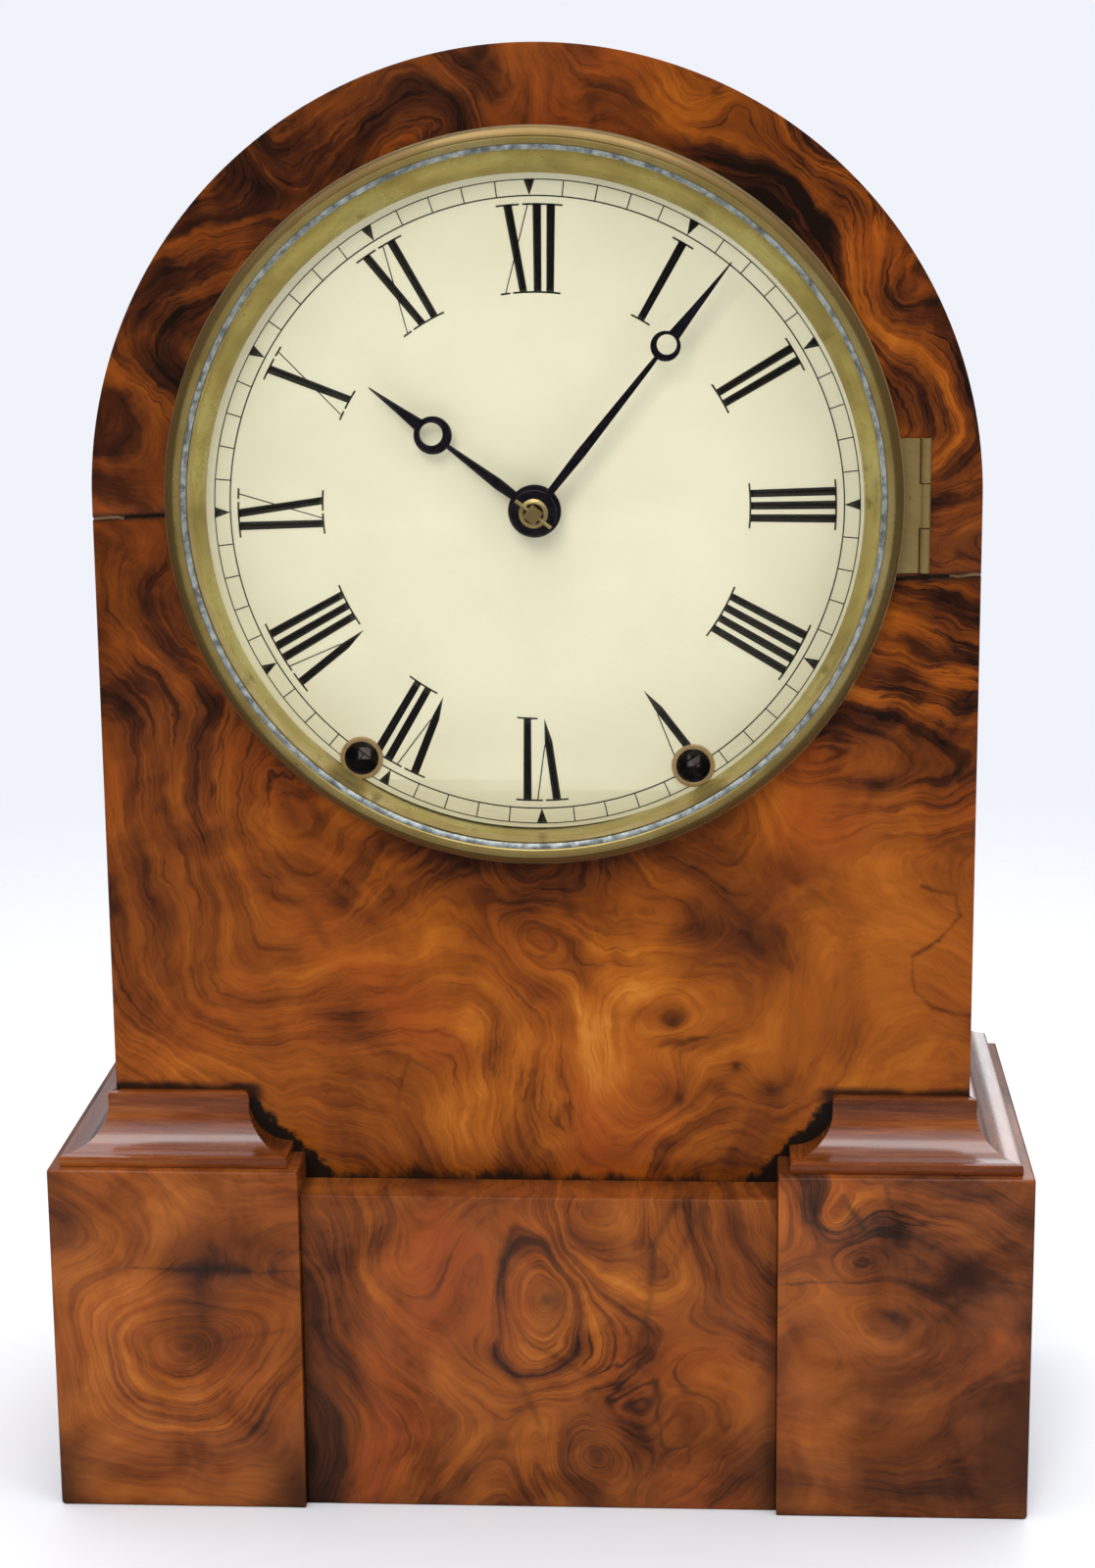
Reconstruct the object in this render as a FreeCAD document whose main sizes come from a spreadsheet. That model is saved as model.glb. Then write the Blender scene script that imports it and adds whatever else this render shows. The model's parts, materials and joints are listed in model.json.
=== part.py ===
import FreeCAD, Part
import math
import os
import Sketcher
from FreeCAD import Placement, Rotation, Vector

# A round-topped bracket clock with a brass bezel, an enamelled dial and an
# eight-day spring-driven time-and-strike movement. Millimetres.
# X runs to the right seen from the front, Y to the back, Z up.
# The origin is under the middle of the case, at the centre of its footprint.

os.makedirs("parts", exist_ok=True)
doc = FreeCAD.newDocument("bracket_clock")
sheet = doc.addObject("Spreadsheet::Sheet", "sizes")

driving_sizes = {
    # case
    "overall_height": 380.0,
    "arch_radius": 112.5,
    "case_depth": 100.5,
    "case_wall": 8.0,
    "front_thickness": 12.0,
    "veneer": 0.8,
    "base_overhang": 16.0,
    "block_inset": 50.0,
    "block_height": 94.3,
    "block_proud": 17.5,
    "block_round": 1.5,
    "panel_height": 87.0,
    "panel_proud": 14.5,
    "floor_thickness": 10.0,
    "back_thickness": 6.0,
    "back_inset": 3.0,
    # cap moulding on the blocks
    "cove_height": 16.9,
    "cove_foot": 3.0,
    "cove_lip": 4.0,
    "cove_run": 11.3,
    "cove_step": 3.0,
    # front openings
    "aperture_radius": 88.9,
    "crack": 0.8,
    "crack_left_drop": 4.4,
    "crack_left_inner_drop": 3.2,
    "crack_right_drop": 18.9,
    "crack_right_inner_drop": 20.1,
    # dial, bezel and glass
    "dial_drop": 3.0,
    "dial_depth": 8.0,
    "dial_radius": 86.6,
    "dial_sheet": 0.8,
    "dial_hole": 5.2,
    "reflector_inner": 85.2,
    "reflector_sheet": 0.7,
    "bezel_radius": 92.8,
    "bezel_proud": 9.5,
    "bezel_bevel": 2.8,
    "bezel_rebate": 1.3,
    "glass_radius": 88.0,
    "glass_sheet": 1.6,
    "grommet_radius": 5.6,
    "grommet_bore": 4.35,
    "grommet_proud": 0.6,
    "bead_width": 1.6,
    "bead_proud": 0.8,
    "glass_inset": 1.0,
    # bezel hinge
    "hinge_drop": 18.3,
    "hinge_length": 33.8,
    "hinge_reach": 5.4,
    "knuckle_radius": 1.3,
    "hinge_pin_radius": 0.55,
    "leaf": 0.8,
    # back door
    "door_half_width": 62.0,
    "door_bottom": 62.0,
    "door_rise": 28.5,
    "door_gap": 0.8,
    "door_knuckle_radius": 1.4,
    "door_hinge_length": 26.0,
    "catch_length": 26.0,
    "catch_width": 7.0,
    "catch_sheet": 1.2,
    "door_hinge_reach": 11.0,
    "door_hinge_inset": 34.0,
    # hands
    "hand_sheet": 0.8,
    "hand_tip": 0.5,
    "minute_reach": 79.6,
    "minute_ring_at": 53.3,
    "minute_boss": 5.85,
    "minute_angle": 38.6,
    "hour_reach": 52.1,
    "hour_ring_at": 32.0,
    "hour_boss": 6.75,
    "hour_angle": -53.0,
    "hour_hand_front": 5.5,
    "minute_hand_front": 9.9,
    "arbor_front": 14.0,
    "arbor_square": 3.6,
    "washer_radius": 3.7,
    "washer_sheet": 1.0,
    "taper_pin_length": 11.2,
    "taper_pin_radius": 0.45,
    "taper_pin_slope": 38.0,
    # movement frame
    "plate": 1.8,
    "plate_side_gap": 42.5,
    "plate_drop": 109.5,
    "plate_rise": 64.5,
    "front_plate_back_from_front": 20.0,
    "plate_space": 34.2,
    "pillar_radius": 3.4,
    "pillar_side_inset": 6.0,
    "pillar_low_inset": 7.0,
    "pillar_high_inset": 8.0,
    "foot_sheet": 1.5,
    "foot_step": 19.0,
    "foot_reach": 27.0,
    "foot_half_height": 5.0,
    "nut_radius": 4.2,
    "nut_height": 2.4,
    # trains
    "time_arbor_across": 40.2,
    "time_arbor_drop": 66.9,
    "strike_arbor_across": 46.0,
    "strike_arbor_drop": 65.1,
    "great_module": 1.25,
    "second_module": 1.334,
    "third_module": 0.8,
    "escape_module": 0.65,
    "motion_module": 0.95,
    "great_teeth": 48,
    "second_pinion_leaves": 8,
    "second_teeth": 42,
    "centre_pinion_leaves": 24,
    "centre_teeth": 54,
    "third_teeth": 60,
    "escape_teeth": 42,
    "leaves": 6,
    "strike_second_teeth": 36,
    "strike_third_teeth": 36,
    "cannon_teeth": 10,
    "minute_wheel_teeth": 30,
    "minute_pinion_leaves": 8,
    "hour_wheel_teeth": 32,
    "wheel_sheet": 1.5,
    "arbor_radius": 1.2,
    "centre_arbor_radius": 2.6,
    "winding_arbor_radius": 3.0,
    "winding_square": 4.0,
    "spring_width": 18.0,
    "spring_sheet": 0.6,
    "spring_inner": 7.0,
    "spring_pitch": 4.0,
    "ratchet_radius": 10.0,
    "ratchet_depth": 1.8,
    "ratchet_sheet": 1.6,
    "count_radius": 16.0,
    "count_slot": 2.6,
    "fly_half_width": 8.5,
    "fly_length": 14.0,
    "fly_sheet": 0.6,
    # escapement and pendulum
    "escape_radius": 15.5,
    "verge_above": 19.5,
    "pendulum_length": 225.0,
    "pendulum_behind_plate": 7.7,
    "crutch_drop": 40.0,
    "crutch_width": 1.2,
    "suspension_length": 14.0,
    "suspension_width": 4.0,
    "rod_radius": 0.8,
    "bob_radius": 22.0,
    "bob_thickness": 7.0,
    "rating_nut_radius": 3.4,
    "rating_nut_height": 2.6,
    # gong and hammer
    "gong_centre_height": 80.0,
    "gong_inner": 16.0,
    "gong_pitch": 8.0,
    "gong_wire": 1.2,
    "gong_stub": 9.0,
    "gong_behind_plate": 20.5,
    "gong_foot_half": 14.0,
    "gong_foot_height": 6.0,
    "gong_column_half": 5.0,
    "gong_column_rise": 6.0,
    "gong_block_depth": 12.0,
    "hammer_aside": 12.0,
    "hammer_rise": 29.0,
    "hammer_wire": 0.9,
    "hammer_head_radius": 4.2,
    "hammer_head_length": 9.0,
    "hammer_gap": 8.0,
    # fits
    "running": 0.05,
    "clearance": 0.3,
}

for row, (alias, value) in enumerate(driving_sizes.items(), start=1):
    sheet.set(f"A{row}", alias)
    sheet.set(f"B{row}", repr(value))
    sheet.setAlias(f"B{row}", alias)
doc.recompute()


class Size:
    # a number together with the sheet expression it comes from

    def __init__(self, value, text):
        self.value = float(value)
        self.text = text

    def join(self, other, sign, value):
        return Size(value, f"({self.text} {sign} {as_size(other).text})")

    def __add__(self, other):
        return self.join(other, "+", self.value + as_size(other).value)

    def __sub__(self, other):
        return self.join(other, "-", self.value - as_size(other).value)

    def __mul__(self, other):
        return self.join(other, "*", self.value * as_size(other).value)

    def __truediv__(self, other):
        return self.join(other, "/", self.value / as_size(other).value)

    def __neg__(self):
        return self * -1

    def __radd__(self, other):
        return as_size(other) + self

    def __rsub__(self, other):
        return as_size(other) - self

    def __rmul__(self, other):
        return as_size(other) * self

    def __float__(self):
        return self.value


def as_size(value):
    if isinstance(value, Size):
        return value
    return Size(value, repr(float(value)))


def named(alias):
    return Size(sheet.get(alias), "sizes." + alias)


s = {alias: named(alias) for alias in driving_sizes}

# places worked out from the driving sizes
front = -(s["case_depth"] + s["block_proud"]) / 2 + s["block_proud"]
rear = front + s["case_depth"]
arch_height = s["overall_height"] - s["arch_radius"]
inner_radius = s["arch_radius"] - s["case_wall"]
board_back = front + s["front_thickness"]
hub_height = arch_height - s["dial_drop"]
dial_front = front + s["dial_depth"]
back_outer = rear - s["back_inset"]
back_inner = back_outer - s["back_thickness"]
base_half_width = s["arch_radius"] + s["base_overhang"]
block_inner_half = s["arch_radius"] - s["block_inset"]
hinge_bottom = arch_height - s["hinge_drop"]
door_top = arch_height + s["door_rise"]
plate_front = front + s["front_plate_back_from_front"]
plate_inner = plate_front + s["plate"]
rear_plate_inner = plate_inner + s["plate_space"]
rear_plate_outer = rear_plate_inner + s["plate"]
plate_half_width = inner_radius - s["plate_side_gap"]
plate_bottom = hub_height - s["plate_drop"]
plate_top = hub_height + s["plate_rise"]
pillar_half_span = plate_half_width - s["pillar_side_inset"]
pillar_low = plate_bottom + s["pillar_low_inset"]
pillar_high = plate_top - s["pillar_high_inset"]
zero = as_size(0.0)
sub_parts = []


def bind(target, name, value):
    if isinstance(value, Size):
        target.setExpression(name, value.text)
    else:
        setattr(target, name, value)


def place(target, x=zero, y=zero, z=zero):
    for axis, value in (("x", x), ("y", y), ("z", z)):
        value = as_size(value)
        if value.text != "0.0":
            target.setExpression("Placement.Base." + axis, value.text)


def new_body(label, x=zero, y=zero, z=zero):
    body = doc.addObject("PartDesign::Body", label)
    place(body, x, y, z)
    sub_parts.append(body)
    return body


def new_sketch(body, plane):
    sketch = body.newObject("Sketcher::SketchObject", body.Name + "_sketch")
    planes = [o for o in body.Origin.OriginFeatures if o.Role == plane]
    sketch.AttachmentSupport = [(planes[0], "")]
    sketch.MapMode = "FlatFace"
    return sketch


def hold(sketch, kind, *place_and_value):
    *where, value = place_and_value
    value = as_size(value)
    index = sketch.addConstraint(Sketcher.Constraint(kind, *where, value.value))
    sketch.setExpression(f"Constraints[{index}]", value.text)


def hold_point(sketch, edge, end, point):
    hold(sketch, "DistanceX", edge, end, point[0])
    hold(sketch, "DistanceY", edge, end, point[1])


def arc_between(start, end, radius, left):
    # the arc from start to end that bulges to the left or right of the way there
    middle = (start + end) * 0.5
    along = end - start
    side = Vector(-along.y, along.x, 0).normalize()
    if not left:
        side = side * -1
    rise = math.sqrt(max(radius * radius - along.Length ** 2 / 4, 0.0))
    top = middle - side * rise + side * radius
    return Part.Arc(start, top, end)


def outline(body, plane, points, arcs=None):
    # a closed outline; arcs gives {edge number: (radius, bulges to the left)}
    arcs = arcs or {}
    sketch = new_sketch(body, plane)
    places = [Vector(float(x), float(y), 0) for x, y in points]
    ends = []
    for number, start in enumerate(places):
        end = places[(number + 1) % len(places)]
        if number in arcs:
            radius, left = arcs[number]
            edge = sketch.addGeometry(arc_between(start, end, float(radius), left), False)
            first = 2 if sketch.getPoint(edge, 1).distanceToPoint(start) > 1e-6 else 1
            hold(sketch, "Radius", edge, radius)
        else:
            edge = sketch.addGeometry(Part.LineSegment(start, end), False)
            first = 1
        ends.append((edge, first))
    for number, (edge, first) in enumerate(ends):
        previous_edge, previous_first = ends[number - 1]
        last = 3 - previous_first
        sketch.addConstraint(Sketcher.Constraint("Coincident", previous_edge, last, edge, first))
        hold_point(sketch, edge, first, points[number])
    return sketch


def circles(body, plane, places, sketch=None):
    sketch = sketch or new_sketch(body, plane)
    for x, y, radius in places:
        centre = Vector(float(x), float(y), 0)
        edge = sketch.addGeometry(Part.Circle(centre, Vector(0, 0, 1), float(radius)), False)
        hold_point(sketch, edge, 3, (x, y))
        hold(sketch, "Radius", edge, radius)
    return sketch


def feature(body, kind, sketch, length=None, back=False, through=False):
    made = body.newObject("PartDesign::" + kind, body.Name + "_" + kind.lower())
    made.Profile = sketch
    made.Reversed = back
    if through:
        made.Type = "ThroughAll"
        made.Midplane = True
    else:
        bind(made, "Length", length)
    return made


def pad_back(body, sketch, thickness):
    return feature(body, "Pad", sketch, thickness, back=True)


def cut_through(body, sketch):
    return feature(body, "Pocket", sketch, through=True)


def revolved(label, points, y=zero, x=zero, z=zero, arcs=None):
    # a profile of (distance to the back, radius) turned about the Y axis
    body = new_body(label, x, y, z)
    sketch = outline(body, "YZ_Plane", points, arcs)
    made = body.newObject("PartDesign::Revolution", body.Name + "_revolution")
    made.Profile = sketch
    made.ReferenceAxis = (sketch, ["H_Axis"])
    return body


def arch_points(half_width, foot, centre):
    return [(-half_width, foot), (half_width, foot), (half_width, centre),
            (zero, centre + half_width), (-half_width, centre)]


def arched_slab(label, half_width, y, thickness):
    body = new_body(label, y=y)
    radius = {2: (half_width, False), 3: (half_width, False)}
    pad_back(body, outline(body, "XZ_Plane", arch_points(half_width, zero, arch_height), radius),
             thickness)
    return body


def cut_arched(body, half_width, foot, centre):
    radius = {2: (half_width, False), 3: (half_width, False)}
    cut_through(body, outline(body, "XZ_Plane", arch_points(half_width, foot, centre), radius))


def solid(label, shape):
    made = doc.addObject("Part::Feature", label)
    made.Shape = shape
    sub_parts.append(made)
    return made


def rod(x, z, radius, start, end):
    return Part.makeCylinder(radius, end - start, Vector(x, start, z), Vector(0, 1, 0))


def block(low, high):
    return Part.makeBox(high[0] - low[0], high[1] - low[1], high[2] - low[2], Vector(*low))


def fused(shapes):
    whole = shapes[0]
    if len(shapes) > 1:
        whole = whole.multiFuse(shapes[1:]).removeSplitter()
    return whole


def prism(points, start, end):
    # a flat shape of (x, z) points with its front at start and its back at end
    corners = [Vector(x, start, z) for x, z in points]
    face = Part.Face(Part.makePolygon(corners + corners[:1]))
    return face.extrude(Vector(0, end - start, 0))


# ---- case -------------------------------------------------------------------

half_aperture = s["aperture_radius"]
shell = arched_slab("case_shell", s["arch_radius"], front + s["veneer"], s["case_depth"] - s["veneer"])
cut_arched(shell, inner_radius, -s["floor_thickness"], arch_height)

board = arched_slab("front_board", inner_radius, front + s["veneer"], s["front_thickness"] - s["veneer"])
cut_through(board, circles(board, "XZ_Plane", [(zero, arch_height, half_aperture)]))

hinge_top = hinge_bottom + s["hinge_length"]
hinge_x = s["bezel_radius"] + s["hinge_reach"]
mortise_depth = s["knuckle_radius"] + s["clearance"] * 3
mortise = [(hinge_x - s["knuckle_radius"] - s["clearance"], hinge_bottom - s["clearance"]),
           (hinge_x + s["knuckle_radius"] + s["clearance"], hinge_bottom - s["clearance"]),
           (hinge_x + s["knuckle_radius"] + s["clearance"], hinge_top + s["clearance"]),
           (hinge_x - s["knuckle_radius"] - s["clearance"], hinge_top + s["clearance"])]
feature(board, "Pocket", outline(board, "XZ_Plane", mortise), mortise_depth, back=False)

half_crack = s["crack"] / 2
wide = s["arch_radius"] + 10
near = half_aperture - 4
for label, side, limit in (("front_veneer_upper", 1, -s["floor_thickness"]),
                           ("front_veneer_lower", -1, s["overall_height"] + 10)):
    veneer = arched_slab(label, s["arch_radius"], front, s["veneer"])
    cut_through(veneer, circles(veneer, "XZ_Plane", [(zero, arch_height, half_aperture)]))
    shift = half_crack * side
    level = arch_height + shift
    away = [(wide, limit), (wide, level - s["crack_right_drop"]),
            (near, level - s["crack_right_inner_drop"]), (-near, level - s["crack_left_inner_drop"]),
            (-wide, level - s["crack_left_drop"]), (-wide, limit)]
    cut_through(veneer, outline(veneer, "XZ_Plane", away))
    if side == 1:
        cut_through(veneer, outline(veneer, "XZ_Plane", mortise))

block_front = front - s["block_proud"]
for label, side in (("base_block_left", -1), ("base_block_right", 1)):
    body = new_body(label)
    outer = base_half_width * side
    turn = s["block_round"] * side
    points = [(outer, rear), (s["arch_radius"] * side, rear), (s["arch_radius"] * side, front),
              (block_inner_half * side, front), (block_inner_half * side, block_front),
              (outer - turn, block_front), (outer, block_front + s["block_round"])]
    feature(body, "Pad", outline(body, "XY_Plane", points, {5: (s["block_round"], side < 0)}),
            s["block_height"])

panel = new_body("plinth_panel", y=front - s["panel_proud"])
half = block_inner_half
pad_back(panel, outline(panel, "XZ_Plane", [(-half, zero), (half, zero), (half, s["panel_height"]),
                                            (-half, s["panel_height"])]), s["panel_proud"])

floor = new_body("base_floor")
feature(floor, "Pad", outline(floor, "XY_Plane", [(-inner_radius, board_back), (inner_radius, board_back),
                                                  (inner_radius, back_inner), (-inner_radius, back_inner)]),
        s["floor_thickness"])

# cap moulding: fillet, concave quarter and lip, mitred at the corners
cove_front = block_front + s["cove_step"]
cove_side = base_half_width - s["cove_step"]
cove_inner = block_inner_half + s["cove_step"]
hollow = s["cove_run"]
hollow_top = s["cove_height"] - s["cove_lip"]


def cove_profile(body, plane, sign, depth):
    # (distance in from the lower edge, height) of the moulding's section
    points = [(zero, zero), (depth * sign, zero), (depth * sign, s["cove_height"]),
              (hollow * sign, s["cove_height"]), (hollow * sign, hollow_top), (zero, s["cove_foot"])]
    return outline(body, plane, points, {4: (hollow, sign > 0)})


top = s["block_height"]
far = s["block_proud"] + s["base_overhang"] + 10
for name, side in (("left", -1), ("right", 1)):
    strip = new_body("cove_front_" + name, y=cove_front, z=top)
    depth = front - cove_front
    made = feature(strip, "Pad", cove_profile(strip, "YZ_Plane", 1, depth), cove_side, back=side < 0)
    corners = [(cove_side * side, zero), (cove_side * side, far), ((cove_side - far) * side, far)]
    cut_through(strip, outline(strip, "XY_Plane", corners))
    corners = [(cove_inner * side, zero), ((cove_inner + far) * side, far), (-far * side, far),
               (-far * side, -far), (cove_inner * side, -far)]
    cut_through(strip, outline(strip, "XY_Plane", corners))

    strip = new_body("cove_side_" + name, x=cove_side * side, y=cove_front, z=top)
    depth = cove_side - s["arch_radius"]
    length = rear - cove_front
    feature(strip, "Pad", cove_profile(strip, "XZ_Plane", -side, depth), length, back=True)
    corners = [(zero, zero), (-far * side, far), (-far * side, -far), (zero, -far)]
    cut_through(strip, outline(strip, "XY_Plane", corners))

    strip = new_body("cove_return_" + name, x=cove_inner * side, y=cove_front, z=top)
    depth = hollow + s["cove_foot"]
    length = front - cove_front
    feature(strip, "Pad", cove_profile(strip, "XZ_Plane", side, depth), length, back=True)
    corners = [(zero, zero), (far * side, far), (far * side, -far), (zero, -far)]
    cut_through(strip, outline(strip, "XY_Plane", corners))

back = arched_slab("back_board", inner_radius, back_inner, s["back_thickness"])
gap = s["door_gap"]
doorway_half = s["door_half_width"] + gap
doorway = [(-doorway_half, s["door_bottom"] - gap), (doorway_half, s["door_bottom"] - gap),
           (doorway_half, door_top + gap), (-doorway_half, door_top + gap)]
cut_through(back, outline(back, "XZ_Plane", doorway))

door = new_body("back_door", y=back_inner)
leafed = [(-s["door_half_width"], s["door_bottom"]), (s["door_half_width"], s["door_bottom"]),
          (s["door_half_width"], door_top), (-s["door_half_width"], door_top)]
pad_back(door, outline(door, "XZ_Plane", leafed), s["back_thickness"])

# ---- door hinges: two small butts with the knuckle outside the boards ---------

door_axis_x = -float(s["door_half_width"] + gap / 2)
door_axis_y = float(back_outer + s["door_knuckle_radius"])


def barrel(x, y, radius, bore, low, high):
    outer_wall = Part.makeCylinder(radius, high - low, Vector(x, y, low))
    return outer_wall.cut(Part.makeCylinder(bore, high - low, Vector(x, y, low)))


def door_hinges():
    # the pin stands fast in the lower knuckle; the upper knuckle turns on it
    radius = float(s["door_knuckle_radius"])
    pin = float(s["hinge_pin_radius"])
    bore = pin + float(s["running"])
    leaf = float(s["leaf"])
    length = float(s["door_hinge_length"])
    middle = length / 2
    space = float(s["clearance"]) / 2
    outside = float(back_outer)
    reach = float(s["door_hinge_reach"])
    inset = float(s["door_hinge_inset"])
    fixed, moving = [], []
    for low in (float(s["door_bottom"]) + inset, float(door_top) - inset - length):
        joint = low + middle
        fixed.append(fused([
            Part.makeCylinder(pin, length, Vector(door_axis_x, door_axis_y, low)),
            Part.makeCylinder(radius, middle - space, Vector(door_axis_x, door_axis_y, low)),
            block((door_axis_x - reach, outside, low), (door_axis_x, outside + leaf, joint - space))]))
        strap = block((door_axis_x, outside, joint + space),
                      (door_axis_x + reach, outside + leaf, low + length))
        hole = Part.makeCylinder(bore, length, Vector(door_axis_x, door_axis_y, low))
        knuckle = barrel(door_axis_x, door_axis_y, radius, bore, joint + space, low + length)
        moving.append(fused([knuckle, strap.cut(hole)]))
    return Part.makeCompound(fixed), Part.makeCompound(moving)


fixed_leaves, moving_leaves = door_hinges()
solid("door_hinge_fixed", fixed_leaves)
solid("door_hinge_moving", moving_leaves)

# turn button beside the door, drawn turned clear of it
catch_x = s["door_half_width"] + gap + s["catch_width"] / 2 + 1.5
catch_height = (s["door_bottom"] + door_top) / 2
catch = new_body("turn_catch", x=catch_x, y=back_outer + s["clearance"], z=catch_height)
catch_half = s["catch_width"] / 2
catch_tip = s["catch_length"] / 2
catch_run = catch_tip - catch_half
catch_points = [(-catch_half, -catch_run), (zero, -catch_tip), (catch_half, -catch_run),
                (catch_half, catch_run), (zero, catch_tip), (-catch_half, catch_run)]
pad_back(catch, outline(catch, "XZ_Plane", catch_points), s["catch_sheet"])
pad_back(catch, circles(catch, "XZ_Plane", [(zero, zero, catch_half * 0.7)]), s["catch_sheet"] + 1.0)

# ---- dial, reflector, bezel and glass -----------------------------------------

dial = new_body("dial_pan", y=dial_front, z=arch_height)
pad_back(dial, circles(dial, "XZ_Plane", [(zero, zero, s["dial_radius"])]), s["dial_sheet"])
time_hole = (s["time_arbor_across"], -s["time_arbor_drop"] - s["dial_drop"], s["grommet_radius"])
strike_hole = (-s["strike_arbor_across"], -s["strike_arbor_drop"] - s["dial_drop"], s["grommet_radius"])
arbor_hole = (zero, -s["dial_drop"], s["dial_hole"])
cut_through(dial, circles(dial, "XZ_Plane", [arbor_hole, time_hole, strike_hole]))

ring_in = s["reflector_inner"]
ring_out = s["aperture_radius"]
sheet_wall = s["reflector_sheet"]
depth = s["dial_depth"]
land = as_size(1.5)
reflector = revolved("reflector_ring", [(depth, ring_in), (zero, ring_out - sheet_wall), (zero, ring_out),
                                        (land, ring_out), (depth, ring_in + sheet_wall)],
                     y=front, z=arch_height)
cut_through(reflector, circles(reflector, "XZ_Plane", [time_hole, strike_hole]))

# the bezel is a turned ring, rebated in front for the glass
proud = s["bezel_proud"]
rim = s["bezel_radius"]
seat = s["glass_radius"] + 0.2
rebate = seat - s["bezel_rebate"]
back_edge = -s["clearance"]
glass_front = s["glass_inset"] - proud
glass_back = glass_front + s["glass_sheet"]
revolved("bezel", [(back_edge, rim), (-proud * 0.6, rim), (-proud, rim - s["bezel_bevel"]), (-proud, seat),
                   (glass_back, seat), (glass_back, rebate), (back_edge, rebate)],
         y=front, z=arch_height)
glass = new_body("bezel_glass", y=front + glass_front, z=arch_height)
pad_back(glass, circles(glass, "XZ_Plane", [(zero, zero, s["glass_radius"])]), s["glass_sheet"])
bead = [(glass_front, seat - s["bead_width"]), (glass_front - s["bead_proud"], seat), (glass_front, seat)]
revolved("glass_bead", bead, y=front, z=arch_height)


def ring_shape(x, z, outer, bore, start, end):
    return rod(x, z, outer, start, end).cut(rod(x, z, bore, start, end))


def grommets():
    made = []
    for x, drop in ((float(s["time_arbor_across"]), float(s["time_arbor_drop"])),
                    (-float(s["strike_arbor_across"]), float(s["strike_arbor_drop"]))):
        z = float(hub_height) - drop
        face = float(dial_front)
        sheet_back = face + float(s["dial_sheet"])
        made.append(ring_shape(x, z, float(s["grommet_radius"]), float(s["grommet_bore"]),
                               face - float(s["grommet_proud"]), sheet_back))
    return Part.makeCompound(made)


solid("winding_grommets", grommets())


def bezel_hinge():
    # fixed leaf in the mortise, moving leaf let against the bezel, and their pin
    x = float(hinge_x)
    y = float(front) - 0.5
    low = float(hinge_bottom)
    length = float(s["hinge_length"])
    radius = float(s["knuckle_radius"])
    pin = float(s["hinge_pin_radius"])
    bore = pin + float(s["running"])
    leaf = float(s["leaf"])
    space = float(s["clearance"]) / 2
    third = length / 3
    pin_shape = Part.makeCylinder(pin, length, Vector(x, y, low))
    hollow_bore = Part.makeCylinder(bore, length, Vector(x, y, low))
    fixed = []
    for start, end in ((low, low + third - space), (low + 2 * third + space, low + length)):
        knuckle = barrel(x, y, radius, bore, start, end)
        strap = block((x + radius - leaf, y, start), (x + radius, y + float(mortise_depth), end))
        fixed.append(knuckle.fuse(strap).cut(hollow_bore).removeSplitter())
    tail = block((x + radius - leaf, y + radius + 0.2, low),
                 (x + radius, y + float(mortise_depth), low + length))
    fixed_shape = fused(fixed + [tail])
    knuckle = barrel(x, y, radius, bore, low + third + space, low + 2 * third - space)
    plate_front_y = float(front) - float(s["clearance"]) - leaf
    plate_edge = x - radius - float(s["clearance"])
    plate = block((x - 9.0, plate_front_y, low), (plate_edge, plate_front_y + leaf, low + length))
    neck = block((plate_edge - 0.1, plate_front_y, low + third + space),
                 (x, plate_front_y + leaf, low + 2 * third - space))
    round_rim = rod(0, float(arch_height), float(s["bezel_radius"]), plate_front_y - 1, plate_front_y + 2)
    moving = fused([knuckle, neck.cut(hollow_bore), plate]).cut(round_rim).cut(hollow_bore)
    return fixed_shape, moving, pin_shape


hinge_fixed, hinge_moving, hinge_pin = bezel_hinge()
solid("bezel_hinge_fixed", hinge_fixed)
solid("bezel_hinge_moving", hinge_moving)
solid("bezel_hinge_pin", hinge_pin)


# ---- hands --------------------------------------------------------------------


def hand(label, y, reach, ring_at, ring_outer, ring_inner, ring_shift, boss, bore, widths, angle):
    # blade, pierced ring and spear point, drawn upright and turned to the time
    boss_width, blade_width, neck_width, spear_width = widths
    body = new_body(label, y=y, z=hub_height)
    body.Placement.Rotation = Rotation(Vector(0, 1, 0), float(angle))
    widest = ring_at * 0.34
    below_ring = ring_at - ring_outer * 0.8
    above_ring = ring_at + ring_outer * 0.8
    half_tip = s["hand_tip"] / 2
    blade = [(-boss_width / 2, zero), (boss_width / 2, zero), (blade_width / 2, widest),
             (neck_width / 2, below_ring), (-neck_width / 2, below_ring), (-blade_width / 2, widest)]
    spear = [(-spear_width / 2, above_ring), (spear_width / 2, above_ring),
             (half_tip, reach), (-half_tip, reach)]
    pad_back(body, outline(body, "XZ_Plane", blade), s["hand_sheet"])
    pad_back(body, circles(body, "XZ_Plane", [(zero, ring_at, ring_outer)]), s["hand_sheet"])
    pad_back(body, outline(body, "XZ_Plane", spear), s["hand_sheet"])
    pad_back(body, circles(body, "XZ_Plane", [(zero, zero, boss)]), s["hand_sheet"])
    cut_through(body, circles(body, "XZ_Plane", [(zero, ring_at + ring_shift, ring_inner)]))
    if isinstance(bore, list):
        cut_through(body, outline(body, "XZ_Plane", bore))
    else:
        cut_through(body, circles(body, "XZ_Plane", [(zero, zero, bore)]))
    return body


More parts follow.
